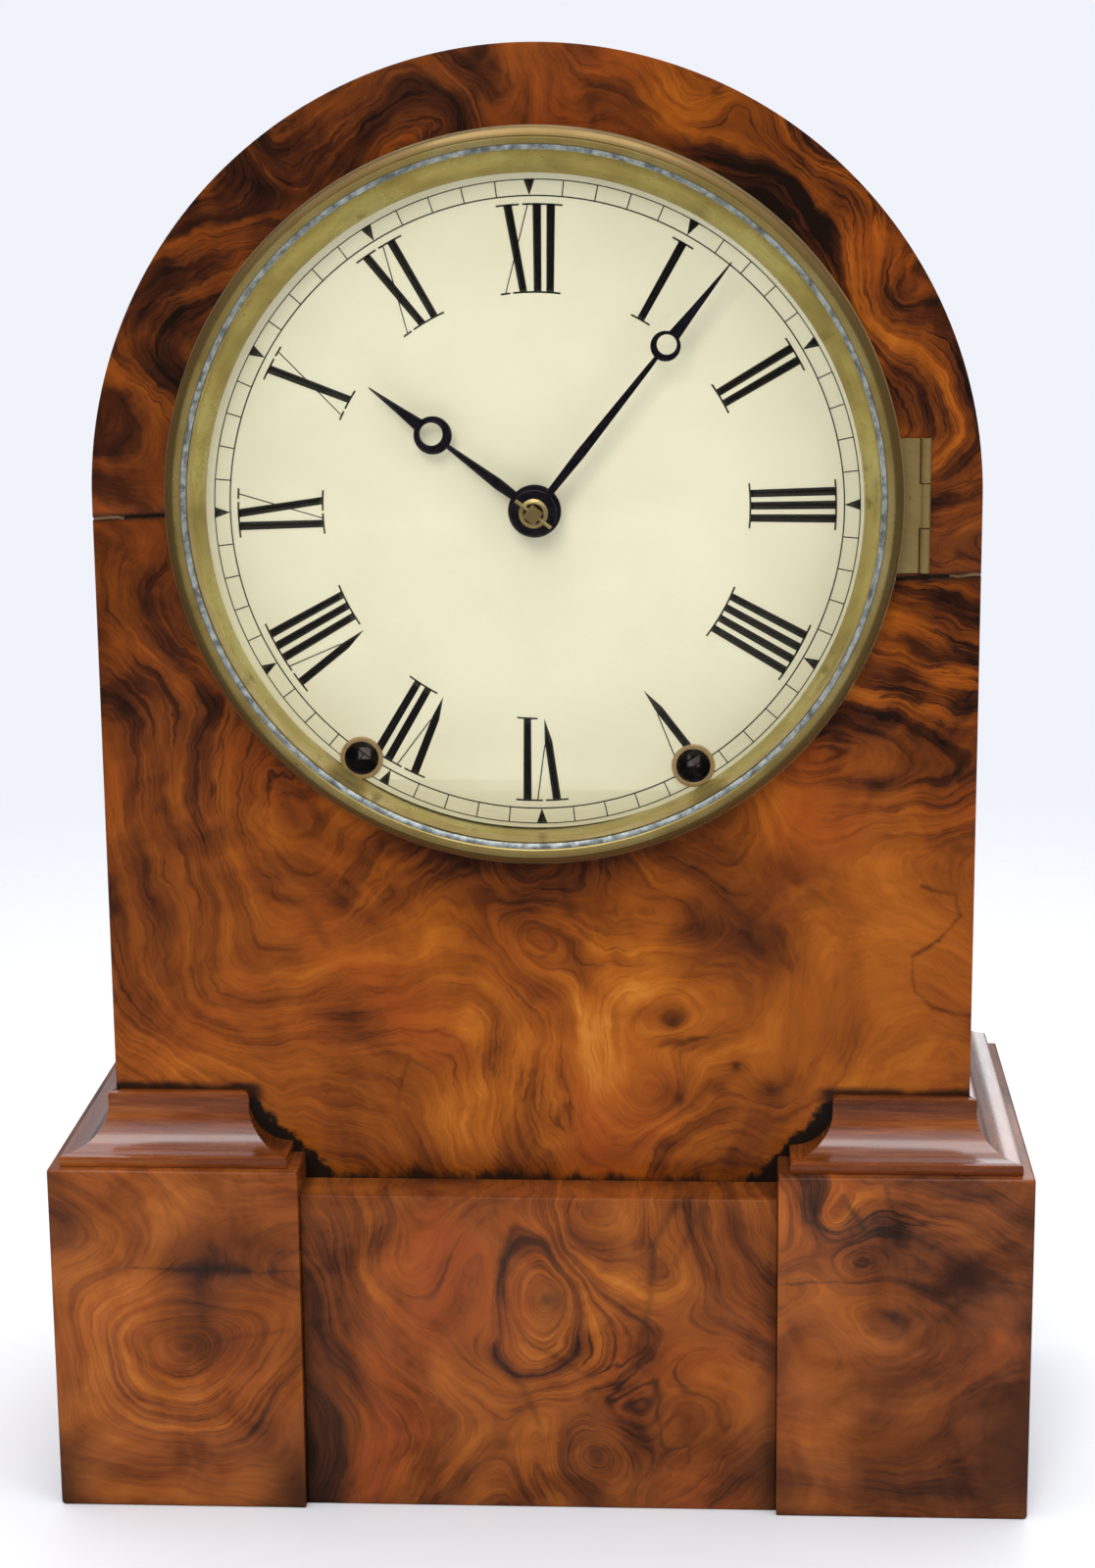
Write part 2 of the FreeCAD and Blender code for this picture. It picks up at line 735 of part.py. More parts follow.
pipe_bore = s["centre_arbor_radius"] + s["running"]
pipe_radius = pipe_bore + 0.95
half_square = s["arbor_square"] / 2
square_hole = [(-half_square, -half_square), (half_square, -half_square),
               (half_square, half_square), (-half_square, half_square)]
widths = [as_size(w) for w in (2.4, 2.9, 1.0, 3.3)]
hour_y = dial_front - s["hour_hand_front"]
hand("hour_hand", hour_y, s["hour_reach"], s["hour_ring_at"], as_size(4.85), as_size(2.9), as_size(0.5),
     s["hour_boss"], pipe_radius, widths, s["hour_angle"])
widths = [as_size(w) for w in (1.8, 2.5, 0.9, 3.1)]
minute_y = dial_front - s["minute_hand_front"]
hand("minute_hand", minute_y, s["minute_reach"], s["minute_ring_at"], as_size(3.8), as_size(2.5),
     as_size(0.5), s["minute_boss"], square_hole, widths, s["minute_angle"])

arbor_end = dial_front - s["arbor_front"]
washer_sheet = s["washer_sheet"]
washer = new_body("hand_washer", y=minute_y - washer_sheet, z=hub_height)
washer_ring = [(zero, zero, s["washer_radius"]), (zero, zero, half_square * 1.45)]
pad_back(washer, circles(washer, "XZ_Plane", washer_ring), washer_sheet)
pin_y = minute_y - washer_sheet - s["taper_pin_radius"]


def taper_pin():
    length = float(s["taper_pin_length"])
    radius = float(s["taper_pin_radius"])
    pin = Part.makeCylinder(radius, length, Vector(-length / 2, 0, 0), Vector(1, 0, 0))
    pin.rotate(Vector(0, 0, 0), Vector(0, 1, 0), float(s["taper_pin_slope"]))
    pin.translate(Vector(0, float(pin_y), float(hub_height)))
    return pin


solid("taper_pin", taper_pin())

# ---- movement frame -------------------------------------------------------------


def apart(near_one, far_one, near_reach, far_reach, side):
    # the place at near_reach from one point and far_reach from another
    dx = far_one[0] - near_one[0]
    dz = far_one[1] - near_one[1]
    span = math.hypot(dx, dz)
    along = (near_reach ** 2 - far_reach ** 2 + span ** 2) / (2 * span)
    across = math.sqrt(near_reach ** 2 - along ** 2) * side
    return (near_one[0] + (along * dx - across * dz) / span, near_one[1] + (along * dz + across * dx) / span)


def mesh_distance(module, first, second):
    return float(s[module]) * float(s[first] + s[second]) / 2


def beside(start, reach, degrees):
    angle = math.radians(degrees)
    return (start[0] + reach * math.sin(angle), start[1] + reach * math.cos(angle))


hub = (0.0, float(hub_height))
time_arbor = (float(s["time_arbor_across"]), hub[1] - float(s["time_arbor_drop"]))
strike_arbor = (-float(s["strike_arbor_across"]), hub[1] - float(s["strike_arbor_drop"]))
great_reach = mesh_distance("great_module", "great_teeth", "second_pinion_leaves")
centre_reach = mesh_distance("second_module", "second_teeth", "centre_pinion_leaves")
third_reach = mesh_distance("third_module", "centre_teeth", "leaves")
escape_reach = mesh_distance("escape_module", "third_teeth", "leaves")
motion_reach = mesh_distance("motion_module", "cannon_teeth", "minute_wheel_teeth")
time_second = apart(time_arbor, hub, great_reach, centre_reach, -1)
time_third = beside(hub, third_reach, -35.7)
escape = (0.0, time_third[1] + math.sqrt(escape_reach ** 2 - time_third[0] ** 2))
verge_place = (0.0, escape[1] + float(s["verge_above"]))
strike_second = beside(strike_arbor, great_reach, 13.2)
strike_reach = mesh_distance("third_module", "strike_second_teeth", "leaves")
strike_third = beside(strike_second, strike_reach, 5.9)
fly_reach = mesh_distance("third_module", "strike_third_teeth", "leaves")
fly_place = beside(strike_third, fly_reach, -13.8)
minute_stud = (0.0, hub[1] - motion_reach)
hammer_place = (-float(s["hammer_aside"]), float(plate_bottom + s["hammer_rise"]))

thin_arbors = [time_second, time_third, escape, strike_second, strike_third, fly_place, hammer_place]
pivot_hole = float(s["arbor_radius"] + s["running"])
winding_hole = float(s["winding_arbor_radius"] + s["running"])


def plate_holes(centre_hole):
    places = [(x, z, pivot_hole) for x, z in thin_arbors]
    places += [(*time_arbor, winding_hole), (*strike_arbor, winding_hole), (*hub, centre_hole)]
    return places


pillar_places = [(side * float(pillar_half_span), float(height))
                 for side in (-1, 1) for height in (pillar_low, pillar_high)]
plate_outline = [(-plate_half_width, plate_bottom), (plate_half_width, plate_bottom),
                 (plate_half_width, plate_top), (-plate_half_width, plate_top)]
stud_radius = 1.2
cannon_y = float(plate_front - s["clearance"] - s["wheel_sheet"])
stud_front = cannon_y - 2.8
for label, y, centre_hole in (("front_plate", plate_front, float(pipe_bore)),
                              ("back_plate", rear_plate_inner, pivot_hole)):
    plate = new_body(label, y=y)
    pad_back(plate, outline(plate, "XZ_Plane", plate_outline), s["plate"])
    places = plate_holes(centre_hole) + [(*verge_place, pivot_hole)]
    cut_through(plate, circles(plate, "XZ_Plane", places))
    if label == "front_plate":
        post = circles(plate, "XZ_Plane", [(*minute_stud, stud_radius)])
        feature(plate, "Pad", post, plate_front - stud_front)
    else:
        post = circles(plate, "XZ_Plane", [(0.0, verge_place[1] + 5.2, 2.0)])
        pad_back(plate, post, s["plate"] + s["pendulum_behind_plate"] + 2.0)


def pillar_set():
    radius = float(s["pillar_radius"])
    return Part.makeCompound([rod(x, z, radius, float(plate_inner), float(rear_plate_inner))
                              for x, z in pillar_places])


solid("plate_pillars", pillar_set())

foot_sheet = float(s["foot_sheet"])


def nut_set():
    made = []
    radius = float(s["nut_radius"])
    top = float(plate_front) - foot_sheet
    for x, z in pillar_places:
        sixths = [k * math.pi / 3 for k in range(6)]
        corners = [(x + radius * math.cos(angle), z + radius * math.sin(angle)) for angle in sixths]
        made.append(prism(corners, top - float(s["nut_height"]), top))
    return Part.makeCompound(made)


solid("pillar_nuts", nut_set())


def mounting_feet():
    # four stepped straps from the pillars out to the back of the front board
    made = []
    back_face = float(board_back)
    face = float(plate_front)
    inner_end = float(pillar_half_span - s["pillar_side_inset"])
    step_x = float(pillar_half_span + s["foot_step"])
    outer_end = float(pillar_half_span + s["foot_reach"])
    half_height = float(s["foot_half_height"])
    for x, z in pillar_places:
        side = math.copysign(1, x)
        points = [(inner_end, face), (inner_end, face - foot_sheet), (step_x, face - foot_sheet),
                  (step_x, back_face), (outer_end, back_face), (outer_end, back_face + foot_sheet),
                  (step_x + foot_sheet, back_face + foot_sheet), (step_x + foot_sheet, face)]
        corners = [Vector(side * px, py, z - half_height) for px, py in points]
        made.append(Part.Face(Part.makePolygon(corners + corners[:1])).extrude(Vector(0, 0, 2 * half_height)))
    return Part.makeCompound(made)


solid("mounting_feet", mounting_feet())

# ---- wheels -----------------------------------------------------------------------


def toward(start, end):
    return math.atan2(end[1] - start[1], end[0] - start[0])


def toothed(teeth, module, centre, phase, y0, y1, leaf=False):
    # straight-flanked teeth; a tooth points along phase, or a gap does for a pinion
    teeth = int(float(teeth))
    radius = teeth * module / 2
    pitch = 2 * math.pi / teeth
    if leaf:
        phase = phase + pitch / 2
        tip = radius + 0.45 * module
        root = radius - 1.15 * module
        corners = ((root, -0.15 * pitch), (tip, -0.10 * pitch), (tip, 0.10 * pitch), (root, 0.15 * pitch))
    else:
        tip = radius + 1.0 * module
        root = radius - 0.8 * module
        corners = ((tip, 0.0), (root, 0.50 * pitch))
    points = []
    for k in range(teeth):
        angle = phase + k * pitch
        for reach, turn in corners:
            way = angle + turn
            points.append((centre[0] + reach * math.cos(way), centre[1] + reach * math.sin(way)))
    return prism(points, y0, y1)


shake = float(s["clearance"])
arbor_start = float(plate_inner) + shake
arbor_stop = float(rear_plate_inner) - shake
through_front = float(plate_front) - 0.6
through_back = float(rear_plate_outer) + 0.6
thin = float(s["arbor_radius"])
sheet_metal = float(s["wheel_sheet"])


def arbor(centre, start=through_front, end=through_back):
    return [rod(*centre, thin, start, end)]


great_y = float(plate_inner) + 2.2
great_sheet = 2.0
second_y = float(rear_plate_inner) - 4.0
centre_y = float(plate_inner) + 9.7
third_y = float(plate_inner) + 21.7
escape_y = float(rear_plate_inner) - 6.5


def pinion(centre, count, module, target, wheel_y, thickness=sheet_metal):
    return toothed(s[count], float(s[module]), centre, toward(centre, target), wheel_y - 1.2,
                   wheel_y + thickness + 1.2, leaf=True)


def wheel(centre, teeth, module, target, wheel_y, thickness=sheet_metal):
    return toothed(s[teeth], float(s[module]), centre, toward(centre, target), wheel_y, wheel_y + thickness)


def great_wheel(centre, target):
    disc = wheel(centre, "great_teeth", "great_module", target, great_y, great_sheet)
    return disc.cut(rod(*centre, winding_hole, great_y, great_y + great_sheet))


ratchet_radius = float(s["ratchet_radius"])
ratchet_root = ratchet_radius - float(s["ratchet_depth"])
ratchet_teeth = 16
ratchet_sheet = float(s["ratchet_sheet"])


def click(centre, degrees):
    # a pivoted pawl on the great wheel, its beak just off the ratchet's teeth
    y0 = great_y + great_sheet
    beak = ratchet_radius * 1.04
    points = [(beak, 0.0), (beak + 1.6, -2.2)]
    points += [(ratchet_radius * out, ratchet_radius * up) for out, up in
               ((1.75, 0.50), (1.65, 0.85), (1.35, 0.85), (1.26, 0.60))]
    shape = prism(points, y0, y0 + ratchet_sheet)
    shape.rotate(Vector(0, 0, 0), Vector(0, 1, 0), degrees)
    shape.translate(Vector(centre[0], 0, centre[1]))
    return shape


def winding_arbor(centre):
    # square for the key in front, ratchet behind the great wheel
    body = rod(*centre, float(s["winding_arbor_radius"]), float(plate_front) - 1.0, through_back)
    half_key = float(s["winding_square"]) / 2
    signs = ((-1, -1), (1, -1), (1, 1), (-1, 1))
    corners = [(centre[0] + half_key * a, centre[1] + half_key * b) for a, b in signs]
    key_end = prism(corners, float(plate_front) - 6.0, float(plate_front) - 1.0)
    y0 = great_y + great_sheet + 0.1
    points = []
    for k in range(ratchet_teeth):
        angle = 2 * math.pi * k / ratchet_teeth
        late = angle + 2 * math.pi / ratchet_teeth * 0.92
        for reach, way in ((ratchet_radius, angle), (ratchet_root, late)):
            points.append((centre[0] + reach * math.cos(way), centre[1] + reach * math.sin(way)))
    ratchet = prism(points, y0, y0 + ratchet_sheet)
    return fused([body, key_end, ratchet])


def spiral_points(centre, first_radius, pitch, turns, steps):
    # points along a flat spiral, a fixed number to each turn
    points = []
    for k in range(int(turns * steps) + 1):
        angle = 2 * math.pi * k / steps
        radius = first_radius + pitch * k / steps
        points.append((centre[0] + radius * math.cos(angle), centre[1] + radius * math.sin(angle)))
    return points


spring_turns = 4.5
spring_steps = 12


def mainspring(centre):
    # an open coil of flat spring between the ratchet and the back plate
    pitch = float(s["spring_pitch"])
    first = float(s["spring_inner"])
    start = great_y + great_sheet + ratchet_sheet + 1.4
    inner = spiral_points(centre, first, pitch, spring_turns, spring_steps)
    outer = spiral_points(centre, first + float(s["spring_sheet"]), pitch, spring_turns, spring_steps)
    return prism(inner + outer[::-1], start, start + float(s["spring_width"]))


for name, centre, target, lean in (("time", time_arbor, time_second, 40),
                                   ("strike", strike_arbor, strike_second, 120)):
    solid(name + "_great_wheel", great_wheel(centre, target).fuse(click(centre, lean)))
    solid(name + "_winding_arbor", winding_arbor(centre))
    solid(name + "_mainspring", mainspring(centre))

solid("time_second_wheel", fused(arbor(time_second) + [
    pinion(time_second, "second_pinion_leaves", "great_module", time_arbor, great_y, great_sheet),
    wheel(time_second, "second_teeth", "second_module", hub, second_y)]))

centre_radius = float(s["centre_arbor_radius"])
front_end = float(arbor_end)
minute_seat = float(minute_y + s["hand_sheet"])
half = float(half_square)
square_low = hub[1] - half
square_high = hub[1] + half
square_corners = [(-half, square_low), (half, square_low), (half, square_high), (-half, square_high)]
square_end = prism(square_corners, front_end, minute_seat + 0.01)
square_end.rotate(Vector(0, 0, hub[1]), Vector(0, 1, 0), float(s["minute_angle"]))
centre_shape = fused([
    square_end,
    rod(*hub, centre_radius, minute_seat, arbor_stop),
    rod(*hub, thin, arbor_stop, through_back),
    toothed(s["cannon_teeth"], float(s["motion_module"]), hub, toward(hub, minute_stud), cannon_y,
            cannon_y + sheet_metal, leaf=True),
    pinion(hub, "centre_pinion_leaves", "second_module", time_second, second_y),
    wheel(hub, "centre_teeth", "third_module", time_third, centre_y)])
solid("centre_arbor", centre_shape.cut(taper_pin()))

# motion work in front of the front plate
pinion_y = cannon_y - 2.6
hour_module = 2 * motion_reach / float(s["minute_pinion_leaves"] + s["hour_wheel_teeth"])
minute_wheel = fused([
    wheel(minute_stud, "minute_wheel_teeth", "motion_module", hub, cannon_y),
    toothed(s["minute_pinion_leaves"], hour_module, minute_stud, toward(minute_stud, hub), pinion_y, cannon_y,
            leaf=True)])
stud_hole = rod(*minute_stud, stud_radius + float(s["running"]), pinion_y - 1, cannon_y + 3)
solid("minute_wheel", minute_wheel.cut(stud_hole))
hour_wheel_y = pinion_y + 0.4
hour_disc = toothed(s["hour_wheel_teeth"], hour_module, hub, toward(hub, minute_stud), hour_wheel_y,
                    hour_wheel_y + 1.2)
hour_pipe = rod(*hub, float(pipe_radius), float(hour_y), hour_wheel_y + 1.2)
hour_bore = rod(*hub, float(pipe_bore), float(hour_y) - 1, hour_wheel_y + 3)
solid("hour_wheel", fused([hour_disc, hour_pipe]).cut(hour_bore))

solid("time_third_wheel", fused(arbor(time_third) + [
    pinion(time_third, "leaves", "third_module", hub, centre_y),
    wheel(time_third, "third_teeth", "escape_module", escape, third_y)]))


def escape_wheel():
    # slender forward-leaning teeth for a recoil strip verge
    teeth = int(float(s["escape_teeth"]))
    tip = float(s["escape_radius"])
    root = tip - 2.6
    points = []
    for k in range(teeth):
        angle = 2 * math.pi * k / teeth
        points.append((escape[0] + root * math.cos(angle), escape[1] + root * math.sin(angle)))
        lean = angle + 2 * math.pi / teeth * 0.8
        points.append((escape[0] + tip * math.cos(lean), escape[1] + tip * math.sin(lean)))
    return prism(points, escape_y, escape_y + 1.0)


solid("escape_wheel", fused(arbor(escape) + [
    pinion(escape, "leaves", "escape_module", time_third, third_y), escape_wheel()]))

# ---- strike train --------------------------------------------------------------------


def count_wheel():
    # a slot after each hour's count of blows, one to twelve
    radius = float(s["count_radius"])
    slot_floor = radius - float(s["count_slot"])
    half_slot = 2.2
    total = 90
    points = []
    done = 0
    for hour in range(1, 13):
        steps = max(1, (hour + 1) // 3)
        for k in range(steps + 1):
            angle = 360.0 * (done + (hour + 1) * k / steps) / total
            angle += half_slot * (k == 0) - half_slot * (k == steps)
            points.append((radius, math.radians(angle)))
        done += hour + 1
        end = 360.0 * done / total
        points += [(slot_floor, math.radians(end - half_slot)), (slot_floor, math.radians(end + half_slot))]
    rim = [(strike_second[0] + r * math.cos(a), strike_second[1] + r * math.sin(a)) for r, a in points]
    return prism(rim, through_back + 0.6, through_back + 1.6)


solid("strike_second_wheel", fused(arbor(strike_second, end=through_back + 2.0) + [
    pinion(strike_second, "second_pinion_leaves", "great_module", strike_arbor, great_y, great_sheet),
    wheel(strike_second, "strike_second_teeth", "third_module", strike_third, second_y), count_wheel()]))
solid("strike_third_wheel", fused(arbor(strike_third) + [
    pinion(strike_third, "leaves", "third_module", strike_second, second_y),
    wheel(strike_third, "strike_third_teeth", "third_module", fly_place, third_y)]))
fly_half = float(s["fly_half_width"])
fly_thin = float(s["fly_sheet"]) / 2
fly_back = third_y - 3.0
fly_blade = block((fly_place[0] - fly_half, fly_back - float(s["fly_length"]), fly_place[1] - fly_thin),
                  (fly_place[0] + fly_half, fly_back, fly_place[1] + fly_thin))
solid("fly", fused(arbor(fly_place) + [
    pinion(fly_place, "leaves", "third_module", strike_third, third_y), fly_blade]))

gong_y = float(rear_plate_outer - s["gong_behind_plate"])
gong_centre = (0.0, float(s["gong_centre_height"]))
gong_turns = 3.5
gong_reach = float(s["gong_inner"] + s["gong_pitch"] * gong_turns)


def hammer():
    # arbor between the plates, wire arm and a round head beside the gong
    gap_to_gong = float(s["hammer_gap"])
    head = (gong_centre[0] - gong_reach - gap_to_gong, gong_centre[1] + gap_to_gong)
    start = Vector(hammer_place[0], gong_y, hammer_place[1])
    end = Vector(head[0], gong_y, head[1])
    arm = Part.makeCylinder(float(s["hammer_wire"]), (end - start).Length, start, end - start)
    length = float(s["hammer_head_length"])
    knob_start = Vector(head[0] - length / 2, gong_y, head[1])
    knob = Part.makeCylinder(float(s["hammer_head_radius"]), length, knob_start, Vector(1, 0, 0))
    return fused(arbor(hammer_place) + [arm, knob])


solid("hammer", hammer())


def gong_coil():
    # a coil of heavy wire lying in one plane, its inner end turned back into the iron block
    points = spiral_points(gong_centre, float(s["gong_inner"]), float(s["gong_pitch"]), gong_turns, 14)
    spine = Part.makePolygon([Vector(x, gong_y, z) for x, z in points])
    wire_radius = float(s["gong_wire"])
    begin = Vector(points[0][0], gong_y, points[0][1])
    away = Vector(points[1][0], gong_y, points[1][1]) - begin
    around = Rotation(Vector(0, 0, 1), away)
    ring = [begin + around.multVec(Vector(wire_radius * math.cos(k * math.pi / 3),
                                          wire_radius * math.sin(k * math.pi / 3), 0)) for k in range(6)]
    section = Part.makePolygon(ring + ring[:1])
    coil = spine.makePipeShell([section], True, False, 1)
    stub = rod(begin.x, begin.z, wire_radius * 1.3, gong_y - wire_radius, gong_y + float(s["gong_stub"]))
    return coil.fuse(stub)


solid("gong_coil", gong_coil())


def gong_block():
    # iron standard screwed to the floor, holding the coil's inner end
    x = gong_centre[0] + float(s["gong_inner"])
    low = float(s["floor_thickness"])
    half_foot = float(s["gong_foot_half"])
    half_column = float(s["gong_column_half"])
    near_y = gong_y + float(s["gong_block_depth"]) / 4
    far_y = near_y + float(s["gong_block_depth"])
    foot_top = low + float(s["gong_foot_height"])
    column_top = gong_centre[1] + float(s["gong_column_rise"])
    foot = block((x - half_foot, near_y, low), (x + half_foot, far_y, foot_top))
    column = block((x - half_column, near_y + 1.0, foot_top), (x + half_column, far_y - 2.0, column_top))
    socket = rod(x, gong_centre[1], float(s["gong_wire"]) * 1.3, gong_y, gong_y + float(s["gong_stub"]))
    return fused([foot, column]).cut(socket)


solid("gong_block", gong_block())

# ---- verge and pendulum -----------------------------------------------------------------

pendulum_y = float(rear_plate_outer + s["pendulum_behind_plate"])


def verge():
    # bent steel strip over the escape wheel, its arbor, and the crutch forked round the pendulum
    x, z = verge_place
    reach = float(s["escape_radius"])
    under = [(0.155, -0.103), (0.503, -0.219), (0.742, -0.542)]
    over = [(0.800, -0.477), (0.594, -0.129), (0.258, 0.155)]
    right = [(x + reach * out, z + reach * up) for out, up in under + over]
    left = [(2 * x - px, pz) for px, pz in reversed(right)]
    strip = prism(right + left, escape_y - 0.5, escape_y + 1.5)
    crutch_y = float(rear_plate_outer) + 3.0
    low = z - float(s["crutch_drop"])
    width = float(s["crutch_width"])
    crutch_back = crutch_y + 1.0
    stem = block((x - width / 2, crutch_y, low), (x + width / 2, crutch_back, z))
    bar = block((x - 2.2, crutch_y, low), (x + 2.2, crutch_back, low + width))
    prongs = [block((x + side * 1.7 - 0.5, crutch_back, low),
                    (x + side * 1.7 + 0.5, pendulum_y + 2.0, low + width)) for side in (-1, 1)]
    return fused([strip, rod(x, z, thin, through_front, crutch_back), stem, bar] + prongs)


solid("verge", verge())
bob_height = verge_place[1] - float(s["pendulum_length"])
rod_bottom = bob_height - float(s["bob_radius"]) - 9.0


def pendulum_rod():
    # suspension strip and wire, with a threaded lower end
    top = verge_place[1] + 2.9
    foot = top - float(s["suspension_length"])
    half_width = float(s["suspension_width"]) / 2
    strip = block((-0.15, pendulum_y - half_width, foot), (0.15, pendulum_y + half_width, top))
    wire_top = foot + 1.0
    wire = Part.makeCylinder(float(s["rod_radius"]), wire_top - rod_bottom, Vector(0, pendulum_y, rod_bottom))
    return fused([strip, wire])


solid("pendulum_rod", pendulum_rod())
rod_hole = s["rod_radius"] + s["running"]
bob_half = s["bob_thickness"] / 2
bob = new_body("pendulum_bob", y=as_size(pendulum_y) - bob_half, z=as_size(bob_height))
pad_back(bob, circles(bob, "XZ_Plane", [(zero, zero, s["bob_radius"])]), s["bob_thickness"])
cut_through(bob, circles(bob, "XY_Plane", [(zero, bob_half, rod_hole)]))
nut_top = bob_height - float(s["bob_radius"]) - 0.1
nut_low = Vector(0, pendulum_y, nut_top - float(s["rating_nut_height"]))
nut = Part.makeCylinder(float(s["rating_nut_radius"]), float(s["rating_nut_height"]), nut_low)
nut_bore = Part.makeCylinder(float(rod_hole), float(s["rating_nut_height"]), nut_low)
solid("rating_nut", nut.cut(nut_bore))

# ---- check and write ---------------------------------------------------------------------

doc.recompute()
for item in doc.Objects:
    faults = [state for state in item.State if state in ("Invalid", "Error")]
    if faults:
        raise RuntimeError(f"{item.Name}: {faults}")
for item in sub_parts:
    if item.Shape.isNull() or not item.Shape.isValid():
        raise RuntimeError(f"{item.Label}: bad shape")
    item.Shape.exportStep(f"parts/{item.Label}.step")
print(len(sub_parts), "sub-parts written")
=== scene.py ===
import json
import math
import random
import bpy
import bmesh
from mathutils import Matrix, Vector


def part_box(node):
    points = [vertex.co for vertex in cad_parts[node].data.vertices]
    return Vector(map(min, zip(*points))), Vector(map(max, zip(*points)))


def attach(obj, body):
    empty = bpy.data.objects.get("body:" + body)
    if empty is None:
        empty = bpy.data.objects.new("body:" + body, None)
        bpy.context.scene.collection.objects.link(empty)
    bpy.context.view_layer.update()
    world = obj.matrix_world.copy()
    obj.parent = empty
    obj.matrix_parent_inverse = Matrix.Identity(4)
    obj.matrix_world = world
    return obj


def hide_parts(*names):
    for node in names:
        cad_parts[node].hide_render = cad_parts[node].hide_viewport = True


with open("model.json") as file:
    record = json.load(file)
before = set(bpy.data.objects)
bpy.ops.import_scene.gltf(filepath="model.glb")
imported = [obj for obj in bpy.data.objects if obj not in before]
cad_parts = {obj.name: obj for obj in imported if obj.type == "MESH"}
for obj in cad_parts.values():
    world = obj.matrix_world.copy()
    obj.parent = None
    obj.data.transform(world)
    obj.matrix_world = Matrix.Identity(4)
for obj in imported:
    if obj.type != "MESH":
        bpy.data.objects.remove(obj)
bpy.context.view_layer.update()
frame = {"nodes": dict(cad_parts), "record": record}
mm = 0.001
print("frame loaded")

# places that the frame gives, in metres
dialLow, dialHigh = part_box("dial_pan")
bezelLow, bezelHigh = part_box("bezel")
veneerLow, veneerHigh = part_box("front_veneer_upper")
archCentre = Vector((0.0, 0.0, (bezelLow.z + bezelHigh.z) / 2))
hubDrop = 3.0 * mm  # the hands turn a little below the middle of the arch
hub = Vector((0.0, 0.0, archCentre.z - hubDrop))
frontY = veneerLow.y
dialY = min(corner.co.y for corner in frame["nodes"]["dial_pan"].data.vertices
            if math.hypot(corner.co.x, corner.co.z - archCentre.z) < 60 * mm)
print("dial face at", round(dialY / mm, 2), "front at", round(frontY / mm, 2))
shellLow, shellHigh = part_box("case_shell")
archRadius = shellHigh.x
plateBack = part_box("front_plate")[1].y
windingPlaces = [(40.2 * mm, 197.6 * mm), (-46.0 * mm, 199.4 * mm)]


# ---- camera and lights

view = {"place": (0.0462, -0.8034, 0.3645), "pitch": 12.57, "yaw": 3.26, "roll": -0.54, "lens": 69.75}


def makeCamera():
    pitch, yaw, roll = (math.radians(view[name]) for name in ("pitch", "yaw", "roll"))
    ahead = Vector((-math.sin(yaw) * math.cos(pitch), math.cos(yaw) * math.cos(pitch), -math.sin(pitch)))
    right = Vector((math.cos(yaw), math.sin(yaw), 0.0))
    up = right.cross(ahead)
    side = right * math.cos(roll) + up * math.sin(roll)
    data = bpy.data.cameras.new("camera")
    data.lens = view["lens"]
    data.sensor_width = 36.0
    data.clip_start = 0.01
    camera = bpy.data.objects.new("camera", data)
    bpy.context.scene.collection.objects.link(camera)
    turn = Matrix((side, side.cross(ahead), -ahead)).transposed().to_4x4()
    camera.matrix_world = Matrix.Translation(view["place"]) @ turn
    bpy.context.scene.camera = camera


lights = {
    "key": {"place": (-0.25, -1.7, 1.15), "size": 0.9, "watts": 15.5, "colour": (1.0, 0.985, 0.96),
            "mirrored": False},
    "fill": {"place": (1.3, -1.1, 0.8), "size": 1.0, "watts": 5.0, "colour": (0.97, 0.98, 1.0),
             "mirrored": False},
    "top": {"place": (0.0, -0.1, 1.6), "size": 1.2, "watts": 8.0, "colour": (1.0, 1.0, 1.0),
            "mirrored": True},
    "back": {"place": (0.3, 1.6, 1.0), "size": 1.2, "watts": 6.0, "colour": (1.0, 1.0, 1.0),
             "mirrored": True},
}


lightTarget = Vector((0.0, 0.0, 0.18))


def makeLights():
    for name, light in lights.items():
        data = bpy.data.lights.new(name, "AREA")
        data.shape = "DISK"
        data.size = light["size"]
        data.energy = light["watts"]
        data.color = light["colour"]
        lamp = bpy.data.objects.new(name, data)
        lamp.location = light["place"]
        lamp.visible_glossy = light["mirrored"]
        aim = lightTarget - Vector(light["place"])
        lamp.rotation_euler = aim.to_track_quat("-Z", "Y").to_euler()
        bpy.context.scene.collection.objects.link(lamp)


makeCamera()
makeLights()
print("camera and lights placed")


# ---- shader helpers

origin = (0.0, 0.0, 0.0)
faceOnly = (1.0, 0.0, 1.0)  # leaves the depth out of a place


def feed(tree, node, inputs):
    # a socket is linked to the input, anything else becomes its value
    for name, value in inputs.items():
        if isinstance(value, bpy.types.NodeSocket):
            tree.links.new(value, node.inputs[name])
        else:
            node.inputs[name].default_value = value
    return node


def addNode(tree, kind, inputs=None, **settings):
    node = tree.nodes.new(kind)
    for name, value in settings.items():
        setattr(node, name, value)
    return feed(tree, node, inputs or {})


def calc(tree, operation, first, second=0.0, clamp=False):
    return addNode(tree, "ShaderNodeMath", {0: first, 1: second}, operation=operation,
                   use_clamp=clamp).outputs[0]


def plus(tree, first, second, clamp=False):
    return calc(tree, "ADD", first, second, clamp)


def times(tree, first, second):
    return calc(tree, "MULTIPLY", first, second)


def higher(tree, first, second, clamp=False):
    return calc(tree, "MAXIMUM", first, second, clamp)


def swung(tree, value, reach):
    # a noise value turned about its middle
    return times(tree, calc(tree, "SUBTRACT", value, 0.5), reach)


def fallOff(tree, reach):
    # one at the middle, fading softly outwards
    return calc(tree, "EXPONENT", times(tree, times(tree, reach, reach), -1.0))


